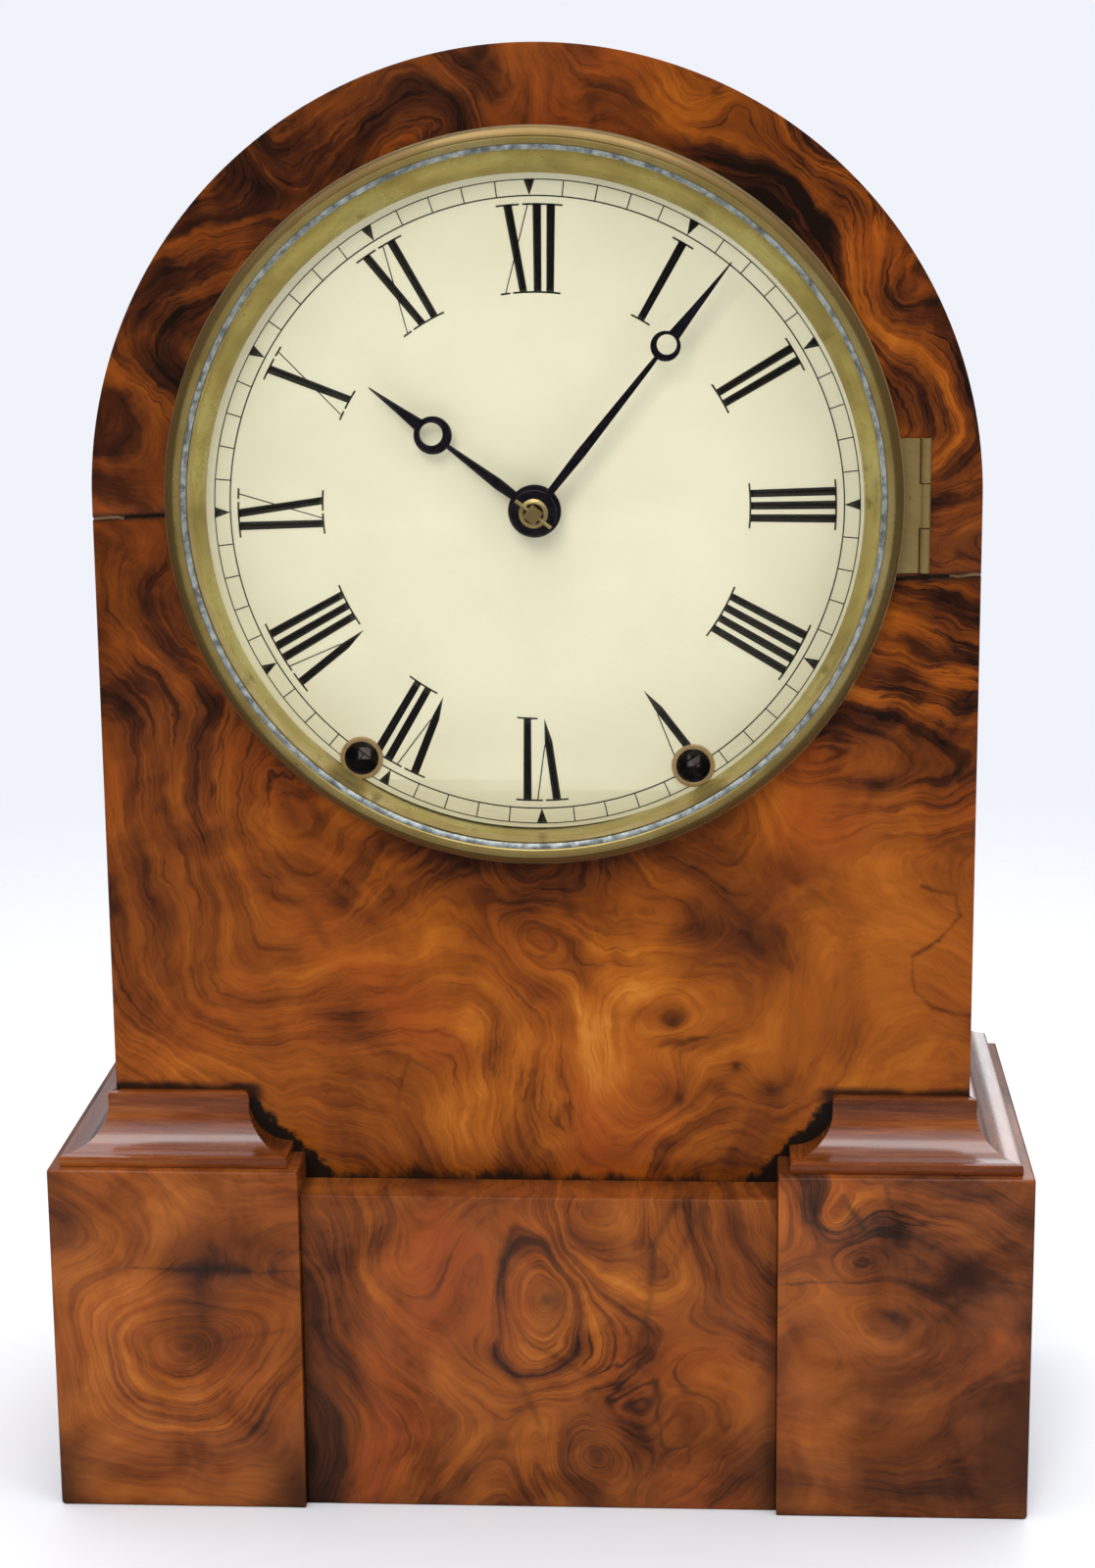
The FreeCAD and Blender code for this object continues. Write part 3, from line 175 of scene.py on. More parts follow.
def vectorCalc(tree, operation, first, second=(0, 0, 0)):
    node = addNode(tree, "ShaderNodeVectorMath", {0: first, 1: second}, operation=operation)
    return node.outputs["Value" if operation in ("LENGTH", "DISTANCE", "DOT_PRODUCT") else "Vector"]


def scaled(tree, vector, factors):
    return vectorCalc(tree, "MULTIPLY", vector, factors)


def noise(tree, vector, scale, detail=2.0, roughness=0.5, distortion=0.0, colour=False):
    node = addNode(tree, "ShaderNodeTexNoise", {"Vector": vector, "Scale": scale, "Detail": detail,
                                                "Roughness": roughness, "Distortion": distortion})
    return node.outputs["Color" if colour else "Fac"]


def ranged(tree, value, low, high, outLow=0.0, outHigh=1.0, smooth=True):
    return addNode(tree, "ShaderNodeMapRange", {"Value": value, "From Min": low, "From Max": high,
                                                "To Min": outLow,
                                                "To Max": outHigh},
                   interpolation_type="SMOOTHSTEP" if smooth else "LINEAR").outputs[0]


def blended(tree, factor, first, second):
    return addNode(tree, "ShaderNodeMix", {0: factor, 6: first, 7: second}, data_type="RGBA").outputs[2]


def mixedShader(tree, factor, first, second):
    return addNode(tree, "ShaderNodeMixShader", {0: factor, 1: first, 2: second}).outputs[0]


def ramp(tree, value, stops):
    node = addNode(tree, "ShaderNodeValToRGB", {0: value})
    elements = node.color_ramp.elements
    while len(elements) < len(stops):
        elements.new(0.5)
    for element, (place, colour) in zip(elements, stops):
        element.position = place
        element.color = (*colour, 1.0)
    return node.outputs[0]


def newMaterial(name):
    material = bpy.data.materials.new(name)
    material.use_nodes = True
    tree = material.node_tree
    surface = tree.nodes["Principled BSDF"]
    return material, tree, surface


def objectPlace(tree):
    # the surface's place in millimetres
    place = tree.nodes.new("ShaderNodeTexCoord").outputs["Object"]
    return scaled(tree, place, (1000.0, 1000.0, 1000.0))


def newGroup(name, inputs, outputs):
    # an input is a number or three numbers, its starting value
    group = bpy.data.node_groups.new(name, "ShaderNodeTree")
    for label, value in inputs.items():
        kind = "NodeSocketVector" if isinstance(value, tuple) else "NodeSocketFloat"
        group.interface.new_socket(label, in_out="INPUT", socket_type=kind).default_value = value
    for label in outputs:
        group.interface.new_socket(label, in_out="OUTPUT", socket_type="NodeSocketFloat")
    return group, group.nodes.new("NodeGroupInput").outputs, group.nodes.new("NodeGroupOutput")


def placed(tree, group, inputs):
    return addNode(tree, "ShaderNodeGroup", inputs, node_tree=group).outputs


def bumped(tree, surface, height, strength, distance):
    bump = addNode(tree, "ShaderNodeBump", {"Height": height, "Strength": strength, "Distance": distance
                                            * mm})
    tree.links.new(bump.outputs[0], surface.inputs["Normal"])


# ---- shared effects

def makeTarnishGroup():
    # aged brass: drifting tone, small spots and fine turning marks round a centre
    group, given, out = newGroup("tarnish", {"Place": origin, "Centre": origin, "Marks": 3.0},
                                 ("Drift", "Spots", "Turning"))
    away = scaled(group, vectorCalc(group, "SUBTRACT", given["Place"], given["Centre"]), faceOnly)
    ring = times(group, vectorCalc(group, "LENGTH", away), given["Marks"])
    ring = addNode(group, "ShaderNodeCombineXYZ", {0: ring}).outputs[0]
    feed(group, out, {"Drift": noise(group, given["Place"], 0.05, 4.0, 0.6, 0.4),
                      "Spots": ranged(group, noise(group, given["Place"], 0.55, 2.0, 0.6), 0.66, 0.74),
                      "Turning": noise(group, ring, 1.0, 2.0, 0.6)})
    return group


tarnishGroup = makeTarnishGroup()


# ---- wood

def makeSpotGroup():
    # a soft oval that fades outwards, used to place swellings, clouds and knots
    group, given, out = newGroup("softSpot", {"Place": origin, "Centre": origin, "Spread": (1.0, 1.0, 1.0),
                                              "Amount": 1.0}, ("Value",))
    away = vectorCalc(group, "SUBTRACT", given["Place"], given["Centre"])
    reach = vectorCalc(group, "LENGTH", scaled(group, away, given["Spread"]))
    feed(group, out, {"Value": times(group, fallOff(group, reach), given["Amount"])})
    return group


def makePatchGroup():
    # a region whose grain runs one way, as a weight and as that weight times its own flow
    group, given, out = newGroup("grainPatch", {"Place": origin, "Centre": origin, "Across": origin,
                                                "Radius": 30.0}, ("Weight", "Pull"))
    leastWeight = 0.0005
    away = vectorCalc(group, "SUBTRACT", given["Place"], given["Centre"])
    reach = calc(group, "DIVIDE", vectorCalc(group, "LENGTH", scaled(group, away, faceOnly)), given["Radius"])
    weight = plus(group, fallOff(group, reach), leastWeight)
    flow = vectorCalc(group, "DOT_PRODUCT", away, given["Across"])
    feed(group, out, {"Weight": weight, "Pull": times(group, weight, flow)})
    return group


def makeVeinGroup():
    # a thin line between two places
    group, given, out = newGroup("vein", {"Place": origin, "Start": origin, "End": origin, "Width": 0.5},
                                 ("Value",))
    fromStart = scaled(group, vectorCalc(group, "SUBTRACT", given["Place"], given["Start"]), faceOnly)
    whole = vectorCalc(group, "SUBTRACT", given["End"], given["Start"])
    share = calc(group, "DIVIDE", vectorCalc(group, "DOT_PRODUCT", fromStart, whole),
                 vectorCalc(group, "DOT_PRODUCT", whole, whole), clamp=True)
    along = addNode(group, "ShaderNodeVectorMath", {0: whole, "Scale": share}, operation="SCALE").outputs[0]
    away = vectorCalc(group, "LENGTH", vectorCalc(group, "SUBTRACT", fromStart, along))
    feed(group, out, {"Value": fallOff(group, calc(group, "DIVIDE", away, given["Width"]))})
    return group


def makeFigureGroup():
    # figured veneer: broad streaks, thin ink lines and fine fibre that follow a flow value
    group, given, out = newGroup("burlFigure", {"Place": origin, "Flow": 0.0, "Seed": 0.0},
                                 ("Streak", "Line", "Ink", "Fibre", "Cloud", "Hue"))
    axes = addNode(group, "ShaderNodeSeparateXYZ", {0: given["Place"]}).outputs

    def grain(across, length, shift, detail, roughness):
        # noise drawn out along the flow
        way = addNode(group, "ShaderNodeCombineXYZ", {
            0: plus(group, times(group, given["Flow"], across), plus(group, given["Seed"], shift)),
            1: times(group, axes[0], length),
            2: times(group, plus(group, axes[2], axes[1]), length)}).outputs[0]
        return noise(group, way, 1.0, detail, roughness)

    fold = calc(group, "ABSOLUTE", calc(group, "SUBTRACT", grain(0.2, 0.02, 13.0, 2.0, 0.5), 0.5))
    shift = addNode(group, "ShaderNodeCombineXYZ", {0: times(group, given["Seed"], 31.0)}).outputs[0]
    cloudPlace = vectorCalc(group, "ADD", given["Place"], shift)
    feed(group, out, {"Streak": grain(0.15, 0.015, 0.0, 3.0, 0.55), "Line": grain(0.5, 0.024, 7.0, 3.0, 0.6),
                      "Ink": ranged(group, fold, 0.0, 0.024, 1.0, 0.0),
                      "Fibre": grain(2.2, 0.16, 3.0, 3.0, 0.7),
                      "Cloud": noise(group, cloudPlace, 0.03, 4.0, 0.6, 0.8),
                      "Hue": noise(group, cloudPlace, 0.017, 2.0, 0.5, 0.5)})
    return group


spotGroup = makeSpotGroup()
patchGroup = makePatchGroup()
veinGroup = makeVeinGroup()
figureGroup = makeFigureGroup()

walnut = {
    "tones": ((0.0, (0.01, 0.004, 0.002)), (0.22, (0.055, 0.013, 0.0035)), (0.45, (0.165, 0.038, 0.004)),
              (0.66, (0.29, 0.072, 0.005)), (0.84, (0.41, 0.114, 0.008)), (1.0, (0.53, 0.19, 0.022))),
    "red": (0.3, 0.045, 0.006),
    "ink": (0.011, 0.005, 0.003),
    "shadeAndDirt": (0.01, 0.006, 0.004),
    "sheenVeil": (0.55, 0.42, 0.34),
    "roughness": 0.29,
    "coat": 0.3,
}


def flat3(x, z):
    return (x, 0.0, z)


def spots(tree, place, items):
    # adds up soft ovals given as (x, z, half width, half height, amount)
    total = 0.0
    for x, z, wide, high, amount in items:
        spot = placed(tree, spotGroup, {"Place": place, "Centre": flat3(x, z), "Amount": amount,
                                        "Spread": (1 / wide, 0.0, 1 / high)})
        total = plus(tree, total, spot["Value"])
    return total


def vein(tree, place, start, end, width):
    return placed(tree, veinGroup, {"Place": place, "Start": flat3(*start), "End": flat3(*end),
                                    "Width": width})["Value"]


def burlWood(name, figure):
    # figure's places are (x, z) in millimetres on the face that is seen from the front
    material, tree, surface = newMaterial(name)
    place = objectPlace(tree)
    drift, ripple = [vectorCalc(tree, "SUBTRACT", noise(tree, place, *kind, colour=True), (0.5, 0.5, 0.5))
                     for kind in ((0.02, 2.0, 0.5), (0.085, 3.0, 0.55))]
    bent = place
    for sway, reach in ((drift, 2.2), (ripple, 0.62)):
        bent = vectorCalc(tree, "ADD", bent, scaled(tree, sway, (figure["wander"] * reach,) * 3))
    nudged = vectorCalc(tree, "ADD", place, scaled(tree, ripple, (4.0, 4.0, 4.0)))
    weight, pull = 0.0, 0.0
    for x, z, radius, acrossX, acrossZ in figure["patches"]:
        patch = placed(tree, patchGroup, {"Place": bent, "Centre": flat3(x, z),
                                          "Across": flat3(acrossX, acrossZ), "Radius": radius})
        weight = plus(tree, weight, patch["Weight"])
        pull = plus(tree, pull, patch["Pull"])
    eyes = spots(tree, nudged, [(x, z, r, r, lift) for x, z, r, lift in figure["eyes"]])
    flow = plus(tree, calc(tree, "DIVIDE", pull, weight), eyes)
    grain = placed(tree, figureGroup, {"Place": place, "Flow": flow, "Seed": figure["seed"]})

    lively = plus(tree, figure["lively"], spots(tree, place, figure["busy"]))
    tone = plus(tree, swung(tree, grain["Streak"], 1.5), swung(tree, grain["Line"], 0.75))
    tone = calc(tree, "SUBTRACT", tone, ranged(tree, grain["Line"], 0.52, 0.66, 0.0, 0.3))
    tone = times(tree, tone, lively)
    for part, reach in (("Cloud", 0.95), ("Fibre", 0.14)):
        tone = plus(tree, tone, swung(tree, grain[part], reach))
    tone = plus(tree, tone, figure["tone"])
    tone = plus(tree, tone, spots(tree, nudged, figure["cloudsAndShadow"]), clamp=True)
    colour = ramp(tree, tone, walnut["tones"])
    red = times(tree, ranged(tree, grain["Hue"], 0.45, 0.7, 0.0, figure["red"]),
                ranged(tree, tone, 0.25, 0.7))
    colour = blended(tree, red, colour, (*walnut["red"], 1.0))

    inkMask = times(tree, grain["Ink"], ranged(tree, lively, 0.35, 1.1, 0.1, 0.8))
    inkMask = times(tree, inkMask, ranged(tree, grain["Cloud"], 0.4, 0.6, 1.0, 0.15))
    knots = spots(tree, nudged, figure["knots"])
    for start, end, width, amount in figure["veins"]:
        faded = ranged(tree, grain["Line"], 0.35, 0.6, amount * 0.5, amount)
        knots = higher(tree, knots, times(tree, vein(tree, nudged, start, end, width), faded))
    colour = blended(tree, higher(tree, inkMask, knots, clamp=True), colour, (*walnut["ink"], 1.0))
    # painted pale sheen: a veil like the room's reflection on the polish, in cloudy patches
    sheenVeil = ranged(tree, grain["Cloud"], 0.3, 0.7, 0.3 * figure["sheenVeil"], figure["sheenVeil"])
    colour = blended(tree, sheenVeil, colour, (*walnut["sheenVeil"], 1.0))
    # painted shade and dirt: darkens the colour and roughens it
    shadeDirtMask = figure["shadeAndDirt"](tree, place, nudged)
    rough = ranged(tree, grain["Fibre"], 0.2, 0.8, walnut["roughness"] - 0.06, walnut["roughness"] + 0.08)
    feed(tree, surface, {"Base Color": blended(tree, shadeDirtMask, colour, (*walnut["shadeAndDirt"], 1.0)),
                         "Roughness": plus(tree, rough, times(tree, shadeDirtMask, 0.25)),
                         "Coat Weight": walnut["coat"], "Coat Roughness": 0.12, "Specular IOR Level": 0.1})
    waves = times(tree, noise(tree, place, 0.06, 2.0, 0.5), 0.8)
    bumped(tree, surface, plus(tree, grain["Fibre"], waves), 0.1, 0.3)
    return material


crackLines = (((-114.0, 263.1), (-88.0, 264.3)), ((88.0, 247.4), (114.0, 248.6)))


def bodyShadeAndDirt(tree, place, nudged):
    # painted shade and dirt by the moulding returns, darker drips above the plinth panel, painted shade in
    # the cracks
    axes = addNode(tree, "ShaderNodeSeparateXYZ", {0: nudged}).outputs
    across, height = calc(tree, "ABSOLUTE", axes[0]), axes[2]
    slope = calc(tree, "SUBTRACT", across, calc(tree, "SUBTRACT", height, 88.0))
    slope = plus(tree, slope, swung(tree, noise(tree, place, 0.22, 4.0, 0.7), 11.0))
    wedge = times(tree, ranged(tree, slope, 53.5, 56.5), ranged(tree, across, 77.0, 81.0, 1.0, 0.0))
    wedge = times(tree, wedge, ranged(tree, height, 110.0, 113.5, 1.0, 0.0))
    drip = noise(tree, scaled(tree, place, (0.13, 0.0, 0.05)), 1.0, 3.0, 0.65)
    level = plus(tree, height, times(tree, drip, -12.0))
    foot = times(tree, ranged(tree, level, 80.6, 84.5, 0.94, 0.0), ranged(tree, across, 62.0, 66.0, 1.0, 0.0))
    ledge = times(tree, ranged(tree, height, 111.8, 114.0, 0.9, 0.0), ranged(tree, across, 72.0, 76.0))
    shadeDirtMask = higher(tree, higher(tree, wedge, foot), ledge, clamp=True)
    for start, end in crackLines:
        shadeDirtMask = higher(tree, shadeDirtMask, times(tree, vein(tree, place, start, end, 1.0), 0.95))
    return shadeDirtMask


def cornerShadeAndChips(corners):
    # darker corners and edges given as (x, z, half width, half height, amount): partly chips, partly painted
    # shade in the gaps beside the blocks, under the mouldings and along the floor
    def mask(tree, place, nudged):
        return calc(tree, "MINIMUM", spots(tree, nudged, corners), 0.9, clamp=True)
    return mask


bodyFigure = {
    "seed": 3.0, "wander": 12.0, "tone": 0.6, "lively": 0.52, "red": 0.55, "sheenVeil": 0.0,
    "patches": (
        (95, 222, 34, 0.1, 1.0), (96, 300, 26, 0.94, 0.3), (68, 348, 24, 0.8, 0.55),
        (30, 366, 22, 1.0, 0.25), (0, 370, 20, 1.0, 0.1), (-45, 360, 24, 0.75, -0.55),
        (-85, 325, 28, -0.25, 0.95), (-103, 275, 24, 0.1, 1.0), (-98, 232, 26, 0.62, 0.72),
        (-78, 180, 26, 0.88, 0.42), (-45, 150, 26, -0.2, 1.0), (-40, 178, 20, -0.3, 0.95),
        (6, 125, 26, 1.0, 0.1), (25, 172, 22, 0.9, 0.4), (55, 118, 24, 0.3, 0.9),
        (95, 150, 34, 0.35, 0.95)),
    "eyes": (
        (-3, 155, 15, 17), (38, 160, 14, -12), (34, 110, 9, 16), (36, 131, 6, 6), (61, 113, 7, 8),
        (-56, 205, 20, -14), (70, 356, 10, 10), (52, 366, 9, -9), (90, 318, 12, 12)),
    "busy": (
        (98, 222, 34, 28, 0.8), (88, 320, 36, 52, 0.9), (60, 352, 26, 18, 0.6), (-90, 320, 34, 44, 0.5),
        (0, 368, 34, 10, 0.55), (-75, 205, 32, 30, 0.5), (-20, 178, 36, 14, 0.4), (8, 118, 26, 26, 0.35),
        (-50, 360, 30, 16, 0.4), (88, 148, 28, 26, -0.3), (20, 150, 20, 16, 0.2)),
    "cloudsAndShadow": (
        (95, 315, 26, 60, -0.32), (60, 352, 30, 20, -0.28), (-98, 310, 28, 64, -0.34),
        (-50, 358, 34, 20, -0.24), (0, 372, 40, 14, -0.23), (-108, 225, 20, 46, -0.22),
        # the wide dark band at (-8, 177) is painted shadow under the bezel
        (-70, 205, 26, 24, -0.1), (-98, 150, 20, 34, -0.14), (-8, 177, 66, 8, -0.24),
        (42, 176, 20, 10, -0.24), (56, 158, 12, 16, -0.22), (-3, 162, 10, 8, -0.26), (12, 158, 6, 14, -0.14),
        (-62, 166, 18, 8, -0.2), (-45, 128, 10, 8, -0.06), (112, 215, 14, 40, -0.1),
        (84, 148, 28, 24, 0.15), (14, 118, 30, 22, 0.1), (-36, 146, 22, 14, 0.12), (-98, 117, 14, 6, 0.15),
        (62, 182, 14, 8, 0.14), (25, 148, 12, 14, 0.1), (-30, 100, 22, 8, 0.06), (35, 110.5, 9, 6.5, -0.34),
        (61.6, 112.4, 5.0, 4.6, -0.3), (35.9, 131.5, 3.6, 3.0, -0.34), (51.8, 118.4, 4.0, 3.4, -0.18),
        (37.0, 125.0, 8.0, 2.2, -0.24), (33, 97, 12, 3, -0.16), (47, 113, 3, 2.4, -0.25),
        (10, 90, 50, 4, -0.12)),
    "knots": (
        (51.8, 118.4, 1.4, 1.3, 0.7), (61.2, 112.6, 2.0, 1.5, 0.5), (37.2, 109.4, 1.3, 2.0, 0.6),
        (35.5, 130.6, 1.3, 1.0, 0.4), (50.5, 95.5, 1.6, 1.1, 0.4)),
    "veins": (
        ((99, 167.5), (108.5, 165.7), 0.6, 0.6), ((108.5, 165.7), (109.7, 159.7), 0.6, 0.6),
        ((109.7, 159.7), (104.3, 153.2), 0.5, 0.5), ((104.3, 153.2), (97.0, 149.2), 0.7, 0.65),
        ((97.0, 149.2), (97.4, 139.9), 0.5, 0.4), ((97.4, 139.9), (102.1, 134.7), 0.5, 0.4),
        ((102.1, 134.7), (111.7, 133.1), 0.7, 0.6), ((32.0, 124.0), (44.0, 126.6), 0.7, 0.6),
        ((-73, 166), (-60, 160), 1.6, 0.35), ((-60, 160), (-55, 152), 1.5, 0.35),
        ((5, 178), (9, 160), 1.5, 0.4), ((56, 160), (64, 147), 1.5, 0.4),
        ((-34, 121), (-38, 108), 0.6, 0.35)),
    "shadeAndDirt": bodyShadeAndDirt,
}
leftFigure = {
    "seed": 11.0, "wander": 7.0, "tone": 0.59, "lively": 0.45, "red": 0.35, "sheenVeil": 0.04,
    "patches": (
        (-95, 20, 22, 0.1, 1.0), (-118, 45, 16, 1.0, 0.3), (-72, 40, 16, -0.35, 0.95),
        (-95, 78, 20, 0.5, 0.8), (-70, 75, 14, 0.2, 1.0)),
    "eyes": ((-92, 50, 22, 34), (-84, 60, 7, -8)),
    "busy": ((-92, 28, 24, 14, 0.45), (-118, 45, 10, 26, 0.35)),
    "cloudsAndShadow": (
        (-126, 80, 8, 14, -0.25), (-88, 60, 10, 16, -0.24), (-84, 72, 14, 8, -0.12), (-106, 58, 12, 14, 0.12),
        (-98, 36, 14, 6, 0.12), (-76, 55, 10, 5, 0.14), (-92, 76, 16, 10, 0.05), (-75, 22, 12, 8, -0.08),
        (-84, 67.3, 16, 2.0, -0.22)),
    "knots": (),
    "veins": (
        ((-108, 67.4), (-62, 67.2), 0.4, 0.55), ((-92, 67.3), (-75, 67.2), 0.7, 0.75),
        ((-90, 66), (-88, 52), 1.6, 0.35), ((-90, 46), (-66, 51), 0.8, 0.3)),
    "shadeAndDirt": cornerShadeAndChips(((-64, 6, 9, 14, 0.75), (-128, 6, 8, 12, 0.7), (-128, 92, 4, 3, 0.5),
                          (-95, -2, 40, 3.2, 0.7))),
}
rightFigure = {
    "seed": 19.0, "wander": 8.0, "tone": 0.49, "lively": 0.52, "red": 0.4, "sheenVeil": 0.04,
    "patches": (
        (72, 84, 12, 0.9, 0.5), (95, 82, 16, 0.1, 1.0), (118, 70, 18, 0.2, 1.0), (80, 55, 16, -0.2, 1.0),
        (110, 45, 18, 0.15, 1.0), (90, 20, 26, 0.12, 1.0)),
    "eyes": ((76, 84, 6, 8), (90, 55, 12, 10), (82, 70, 7, -8)),
    "busy": ((78, 84, 16, 11, 0.85), (100, 86, 24, 7, 0.45), (85, 30, 26, 24, -0.1)),
    "cloudsAndShadow": (
        (118, 66, 16, 14, -0.14), (100, 88, 30, 7, -0.06), (76, 36, 12, 20, 0.12), (84, 60, 14, 8, 0.08),
        (80, 88, 10, 5, 0.08), (120, 30, 14, 30, -0.08), (95, 10, 30, 8, -0.08), (93, 56.5, 4, 3, -0.2)),
    "knots": ((83, 70.5, 1.2, 1.4, 0.5), (93, 56.5, 1.4, 1.0, 0.5)),
    "veins": (
        ((67, 91), (70, 82.5), 0.8, 0.6), ((70, 82.5), (75, 80), 0.8, 0.6), ((79, 89), (85, 80), 1.0, 0.6),
        ((85, 80), (103, 79), 0.8, 0.5), ((90, 92), (93, 84), 0.9, 0.5),
        ((64.2, 65.4), (96, 66.3), 0.35, 0.5), ((98, 57), (127, 54), 1.8, 0.35)),
    "shadeAndDirt": cornerShadeAndChips(((127, 12, 12, 18, 0.65), (64, 6, 7, 9, 0.45), (95, -2, 40, 3.0, 0.6),
                          (128, 60, 4, 40, 0.3))),
}
panelFigure = {
    "seed": 27.0, "wander": 8.0, "tone": 0.52, "lively": 0.6, "red": 0.85, "sheenVeil": 0.03,
    "patches": (
        (-45, 60, 20, 0.9, 0.4), (-25, 35, 20, 0.5, 0.85), (-10, 60, 14, 1.0, 0.15), (30, 60, 18, 1.0, -0.2),
        (20, 35, 16, -0.25, 1.0), (50, 50, 18, 0.6, 0.8), (-30, 12, 20, 0.9, -0.3), (10, 14, 14, 1.0, 0.2),
        (45, 15, 18, -0.5, 0.85)),
    "eyes": ((2.4, 59, 9, 15), (2.4, 59, 22, 16), (34, 66, 12, -9), (12, 15, 9, 11), (-40, 66, 12, 9)),
    "busy": ((2, 55, 28, 26, 0.45), (15, 35, 26, 14, 0.3), (10, 12, 20, 10, 0.3)),
    "cloudsAndShadow": (
        (-55, 20, 12, 22, -0.26), (-56, 60, 8, 26, -0.12), (5, 74, 16, 7, -0.12), (-38, 66, 16, 9, 0.1),
        (22, 66, 12, 12, 0.1), (-20, 14, 22, 14, 0.13), (40, 35, 16, 12, 0.1), (52, 68, 10, 14, 0.04),
        (10, 26, 8, 10, -0.12), (-5, 80, 12, 4, 0.12), (-8, 66, 5, 10, -0.12)),
    "knots": ((2.4, 58.5, 3.2, 2.8, 0.45), (2.4, 58.5, 7.5, 6.5, 0.2), (15, 17, 2.6, 1.5, 0.5)),
    "veins": (
        ((36, 86), (30, 74), 1.2, 0.5), ((30, 74), (29, 60), 1.0, 0.45), ((29, 60), (26, 45), 1.0, 0.4),
        ((43, 85), (36, 70), 1.1, 0.45), ((-8, 75), (-9, 60), 1.2, 0.5), ((-9, 60), (-4, 47), 1.2, 0.5),
        ((-4, 47), (14, 38), 0.9, 0.4), ((-12, 45), (-3, 30), 1.2, 0.45), ((-3, 30), (0, 24), 1.0, 0.4),
        ((8, 22), (7, 12), 0.9, 0.4)),
    "shadeAndDirt": cornerShadeAndChips(((-62, 8, 9, 26, 0.85), (-63, 60, 3, 40, 0.6), (62, 8, 9, 14, 0.7),
                          (63, 50, 3, 40, 0.5),
                          (0, -2, 64, 3.0, 0.5))),
}
bodyWood = burlWood("burlBody", bodyFigure)
leftWood = burlWood("burlLeft", leftFigure)
rightWood = burlWood("burlRight", rightFigure)
panelWood = burlWood("burlPanel", panelFigure)


def straightWood(name, stretch, tones, roughness=0.4, coat=0.5, gloss=0.4):
    # plain-sawn wood; stretch makes the grain long along one axis
    material, tree, surface = newMaterial(name)
    place = scaled(tree, objectPlace(tree), stretch)
    broad = noise(tree, place, 0.12, 4.0, 0.6, 0.4)
    fine = noise(tree, place, 1.1, 4.0, 0.65)
    tone = plus(tree, times(tree, broad, 0.9), times(tree, fine, 0.4))
    feed(tree, surface, {"Base Color": ramp(tree, ranged(tree, tone, 0.4, 0.95, smooth=False), tones),
                         "Roughness": ranged(tree, fine, 0.3, 0.7, roughness - 0.06, roughness + 0.1),
                         "Coat Weight": coat, "Coat Roughness": 0.14, "Specular IOR Level": gloss})
    bumped(tree, surface, fine, 0.12, 0.2)
    return material


redTones = ((0.0, (0.04, 0.008, 0.002)), (0.5, (0.19, 0.042, 0.005)), (1.0, (0.42, 0.12, 0.014)))
mouldingX = straightWood("mouldingAcross", (0.08, 1.0, 1.0), redTones, 0.24, 1.0, 0.7)
mouldingY = straightWood("mouldingDeep", (1.0, 0.08, 1.0), redTones, 0.24, 1.0, 0.7)
sideWood = straightWood("sideVeneer", (1.0, 0.1, 0.3),
                        ((0.0, (0.035, 0.01, 0.004)), (0.5, (0.15, 0.04, 0.009)),
                                                        (1.0, (0.3, 0.09, 0.014))))
pineTones = ((0.0, (0.16, 0.085, 0.038)), (0.5, (0.3, 0.175, 0.085)), (1.0, (0.42, 0.27, 0.14)))
pine = straightWood("agedPine", (1.0, 0.5, 0.06), pineTones, 0.62, 0.0)
# near-black board: painted shade seen through the cracks and the winding holes
shadeBoard = straightWood("paintedShadeBoard", (1.0, 0.5, 0.06),
                        ((0.0, (0.012, 0.006, 0.003)), (1.0, (0.04, 0.02, 0.01))),
                        0.7, 0.0)
print("wood made")


# ---- metals, enamel and glass

def brass(name, tones, roughness, centre=origin, marks=3.0, spots=0.5, shine=0.6, shadedAround=(), rim=0.0):
    material, tree, surface = newMaterial(name)
    place = objectPlace(tree)
    aged = placed(tree, tarnishGroup, {"Place": place, "Centre": centre, "Marks": marks})
    tone = plus(tree, times(tree, aged["Drift"], 0.8), times(tree, aged["Turning"], 0.3))
    colour = ramp(tree, ranged(tree, tone, 0.3, 0.85, smooth=False), tones)
    colour = blended(tree, times(tree, aged["Spots"], spots), colour, (0.05, 0.035, 0.012, 1.0))
    if rim:  # painted shade on the outer slope, which faces away from the light, and a painted highlight along its edge
        away = vectorCalc(tree, "LENGTH", scaled(tree, vectorCalc(tree, "SUBTRACT", place, centre), faceOnly))
        slope = ranged(tree, away, rim - 3.0, rim - 2.2, 0.0, 0.88)
        colour = blended(tree, slope, colour, (0.155, 0.092, 0.026, 1.0))
        colour = blended(tree, ranged(tree, away, rim - 0.55, rim - 0.25, 0.0, 0.8), colour,
                         (0.56, 0.45, 0.24, 1.0))
    for x, z in shadedAround:  # painted shade on the plate round the winding arbors, deep in the winding holes
        black = placed(tree, spotGroup, {"Place": place, "Centre": flat3(x / mm, z / mm),
                                         "Spread": (0.11, 0.0, 0.11),
                                         "Amount": 2.4})["Value"]
        depth = addNode(tree, "ShaderNodeSeparateXYZ", {0: place}).outputs[1]
        black = times(tree, black, ranged(tree, depth, plateBack / mm + 0.2, plateBack / mm + 1.0, 1.0, 0.0))
        colour = blended(tree, calc(tree, "MINIMUM", black, 1.0), colour, (0.004, 0.003, 0.003, 1.0))
    feed(tree, surface, {"Base Color": colour, "Metallic": shine,
                         "Roughness": ranged(tree, aged["Drift"], 0.3, 0.7, roughness + 0.08,
                                             roughness - 0.06)})
    bumped(tree, surface, aged["Turning"], 0.08, 0.05)
    return material


